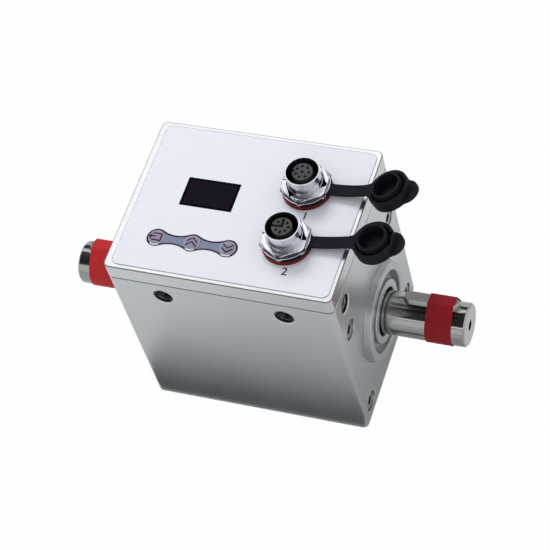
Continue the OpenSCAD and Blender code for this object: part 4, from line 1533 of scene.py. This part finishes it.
@dataclass
class Ends:
    """The bearing carriers, their covers and the end screws."""

    axis_z: float = field(default_factory=shaft_height)
    edge: float = 0.4 * MM
    cover_edge: float = 0.32 * MM
    screw_edge: float = 0.3 * MM

    def build(self) -> None:
        """Dresses both ends."""
        boss = TurnedMetal("turned_boss", (0.48, 0.51, 0.52), 0.31, self.axis_z, 2600.0,
                           metallic=0.6)
        steel = TurnedMetal("screw_steel", (0.34, 0.345, 0.35), 0.30, self.axis_z)
        boss_material, screw_material = boss.build(), steel.build()
        for side in Side:
            for node, edge, material in (
                    (f"bearing_carrier_{side.word}", self.edge, boss_material),
                    (f"bearing_cover_{side.word}", self.cover_edge, boss_material),
                    (f"end_screws_{side.word}", self.screw_edge, screw_material)):
                Bench.eased(node, edge, material)


@dataclass
class Inside:
    """What the closed housing holds: bearings, coils, gauges and the circuit board."""

    axis_z: float = field(default_factory=shaft_height)

    def build(self) -> None:
        """Dresses the hidden nodes, which stay as the frame has them."""
        # Painted shade: the bearings' faces at tip_x, seen past the hub, take a near-black tip
        # colour.
        steel = TurnedMetal("bearing_steel", (0.62, 0.63, 0.64), 0.18, self.axis_z,
                            tip_x=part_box("bearing_right_outer_ring")[1].x,
                            tip=(0.015, 0.015, 0.014))
        brass = TurnedMetal("turned_brass", (0.70, 0.53, 0.24), 0.3, self.axis_z)
        zinc = TurnedMetal("zinc_screws", (0.62, 0.63, 0.65), 0.35, 0.0)
        black = Moulded("black_moulding", (0.02, 0.02, 0.022), (0.03, 0.03, 0.032), 0.5)
        potting = Moulded("potted_coil", (0.03, 0.03, 0.035), (0.05, 0.05, 0.055), 0.4)
        foil = Moulded("gauge_foil", (0.55, 0.28, 0.08), (0.62, 0.36, 0.12), 0.35, coat=0.4)
        lead = Moulded("lead_sleeve", (0.35, 0.02, 0.02), (0.42, 0.04, 0.03), 0.4)
        wire = Winding("rotor_winding", (0.62, 0.28, 0.12), (0.16, 0.06, 0.03), self.axis_z)
        groups = (
            (steel, [f"bearing_{s.word}_{part}" for s in Side
                     for part in ("outer_ring", "inner_ring", "balls", "shields")]),
            (brass, [*(f"bearing_{s.word}_cage" for s in Side), "board_spacers"]),
            (zinc, ["cover_screws", "board_screws"]),
            (black, ["display_module", "key_switches"]),
            (potting, [f"stator_coil_{s.word}" for s in Side]),
            (foil, ["strain_gauges"]),
            (lead, ["coil_leads"]),
            (wire, [f"rotor_coil_{s.word}" for s in Side]),
            (Laminate(), ["main_board", "rotor_board"]),
        )
        for finish, nodes in groups:
            material = finish.build()
            for node in nodes:
                Bench.keep(node, material)


# Studio


@dataclass
class Studio:
    """The camera of the photograph, a pale floor and soft lamps."""

    camera_at: Point = (0.29266, -0.44142, 0.77623)
    camera_right: Point = (0.9341, 0.3041, -0.1868)
    camera_up: Point = (-0.1535, 0.8147, 0.5591)
    lens: float = 129.75
    floor_size: float = 8.0
    world_light: float = 0.62
    # Cards before the foot (near edge, far edge, tone): the floor's painted shadow.
    foot: tuple[tuple[float, float, float], ...] = (
        (0.041, 0.050, 0.12), (0.050, 0.058, 0.20), (0.058, 0.066, 0.34), (0.066, 0.076, 0.55))
    foot_w: float = 0.125
    foot_z: float = 0.2 * MM

    def build(self) -> None:
        """Sets the stage."""
        self.camera()
        self.world()
        self.floor()
        self.lamps()
        self.cards()
        bpy.context.scene.view_settings.view_transform = "Standard"

    def camera(self) -> None:
        """Places the camera as a match of the photograph gave it."""
        data = bpy.data.cameras.new("photo_camera")
        data.lens = self.lens
        data.clip_start, data.clip_end = 0.01, 50.0
        thing = bpy.data.objects.new("photo_camera", data)
        bpy.context.scene.collection.objects.link(thing)
        right = Vector(self.camera_right).normalized()
        back = right.cross(Vector(self.camera_up)).normalized()
        up = back.cross(right)
        turn = Matrix((right, up, back)).transposed().to_4x4()
        thing.matrix_world = Matrix.Translation(self.camera_at) @ turn
        bpy.context.scene.camera = thing

    def world(self) -> None:
        """A white background over a plain soft light."""
        s = Shader("studio_world", world=True)
        camera, gloss, through = s.rays()
        light, white = (s.node("ShaderNodeBackground", {}, {"Color": WHITE, "Strength": strength})
                        for strength in (self.world_light, 1.0))
        seen = camera.at_least(gloss.at_least(through))
        bpy.context.scene.world = s.end(s.node("ShaderNodeMixShader", {},
                                               {0: seen, 1: light, 2: white}))

    def floor(self) -> None:
        """A plain white floor that keeps a soft shadow."""
        bpy.ops.object.select_all(action="DESELECT")
        bpy.ops.mesh.primitive_plane_add(size=self.floor_size, location=(0, 0, -0.02 * MM))
        thing = Bench.settle(Bench.added("studio_floor"))
        s = Shader("floor_white")
        camera, gloss, through = s.rays()
        card = s.node("ShaderNodeBsdfDiffuse", {}, {"Color": (0.82, 0.82, 0.82)})
        glow = s.node("ShaderNodeEmission", {}, {"Color": WHITE, "Strength": 1.0})
        share = camera * 0.975 + gloss * 0.06 + through * 0.975
        Bench.dress(thing, s.end(s.node("ShaderNodeMixShader", {}, {0: share, 1: card, 2: glow})))

    @staticmethod
    def lamp(name: str, at: Point, size: tuple[float, float], power: float,
             aim: Point = (0, 0, 0.05), mirrored: bool = True) -> None:
        """Adds a soft rectangular lamp.

        Args:
            name: The lamp's name.
            at: Its place.
            size: Its width and height.
            power: Its power in watts.
            aim: The point that it faces.
            mirrored: Whether it shows in reflections.
        """
        data = bpy.data.lights.new(name, "AREA")
        data.shape = "RECTANGLE"
        data.size, data.size_y = size
        data.energy = power
        thing = bpy.data.objects.new(name, data)
        bpy.context.scene.collection.objects.link(thing)
        thing.location = at
        thing.visible_glossy = mirrored
        thing.rotation_euler = (Vector(aim) - Vector(at)).to_track_quat("-Z", "Y").to_euler()

    def lamps(self) -> None:
        """A softbox above and behind on the left, and two weak strips."""
        self.lamp("back_softbox", (-0.42, 0.60, 1.0), (0.6, 0.36), 6.0, mirrored=False)
        self.lamp("zenith_strip", (-0.338, -0.04, 0.98), (0.5, 0.09), 0.45)
        self.lamp("front_strip", (0.15, -0.95, 0.75), (1.2, 0.12), 0.8)

    @staticmethod
    def card(name: str, at: Point, size: tuple[float, float], tone: Colour,
             flat: bool = False) -> None:
        """Adds a card that shows only in reflections and casts no shadow.

        Args:
            name: The card's name.
            at: Its place.
            size: Its width and height.
            tone: How bright it looks.
            flat: Whether it lies level instead of facing the object.
        """
        bpy.ops.mesh.primitive_plane_add(size=1.0, location=(0, 0, 0))
        thing = Bench.added(name)
        thing.scale = (*size, 1.0)
        thing.location = at
        if not flat:
            facing = Vector((0, 0, 0.05)) - Vector(at)
            thing.rotation_euler = facing.to_track_quat("-Z", "Y").to_euler()
        Bench.settle(thing)
        s = Shader(f"{name}_paper")
        Bench.dress(thing, s.end(s.node("ShaderNodeEmission", {},
                                        {"Color": tone, "Strength": 1.0})))
        thing.visible_camera = thing.visible_diffuse = thing.visible_shadow = False

    def cards(self) -> None:
        """Cards that the metal mirrors: dark overhead and behind, a painted shadow before the
        foot, and a glow.

        The glow stands where the softbox is, which shows in no reflection itself.
        """
        self.card("overhead_card", (-0.30, -0.25, 1.05), (1.8, 1.5), (0.04, 0.04, 0.042))
        self.card("back_card", (-0.40, 1.0, 0.72), (1.8, 0.62), (0.07, 0.073, 0.076))
        self.card("softbox_glow", (-0.42, 0.60, 1.0), (0.75, 0.45), (1.45, 1.45, 1.47))
        # Painted shadow: flat cards before the front face stand for the floor's shadow, darkest
        # nearest the foot.
        for n, (near, far, tone) in enumerate(self.foot):
            self.card(f"foot_card_{n}", (0.0, -(near + far) / 2, self.foot_z),
                      (self.foot_w, far - near), (tone, tone, 1.03 * tone), True)


def main() -> None:
    """Loads the frame and builds every sub-assembly in order."""
    logging.basicConfig(level=logging.INFO, format="%(name)s: %(message)s")
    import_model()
    Bench.pick()
    Studio().build()
    Housing().build()
    Panel().build()
    Keypad().build()
    for port in Port:
        Connector(port).build()
    Drive().build()
    Ends().build()
    Inside().build()


if __name__ == "__main__":
    main()
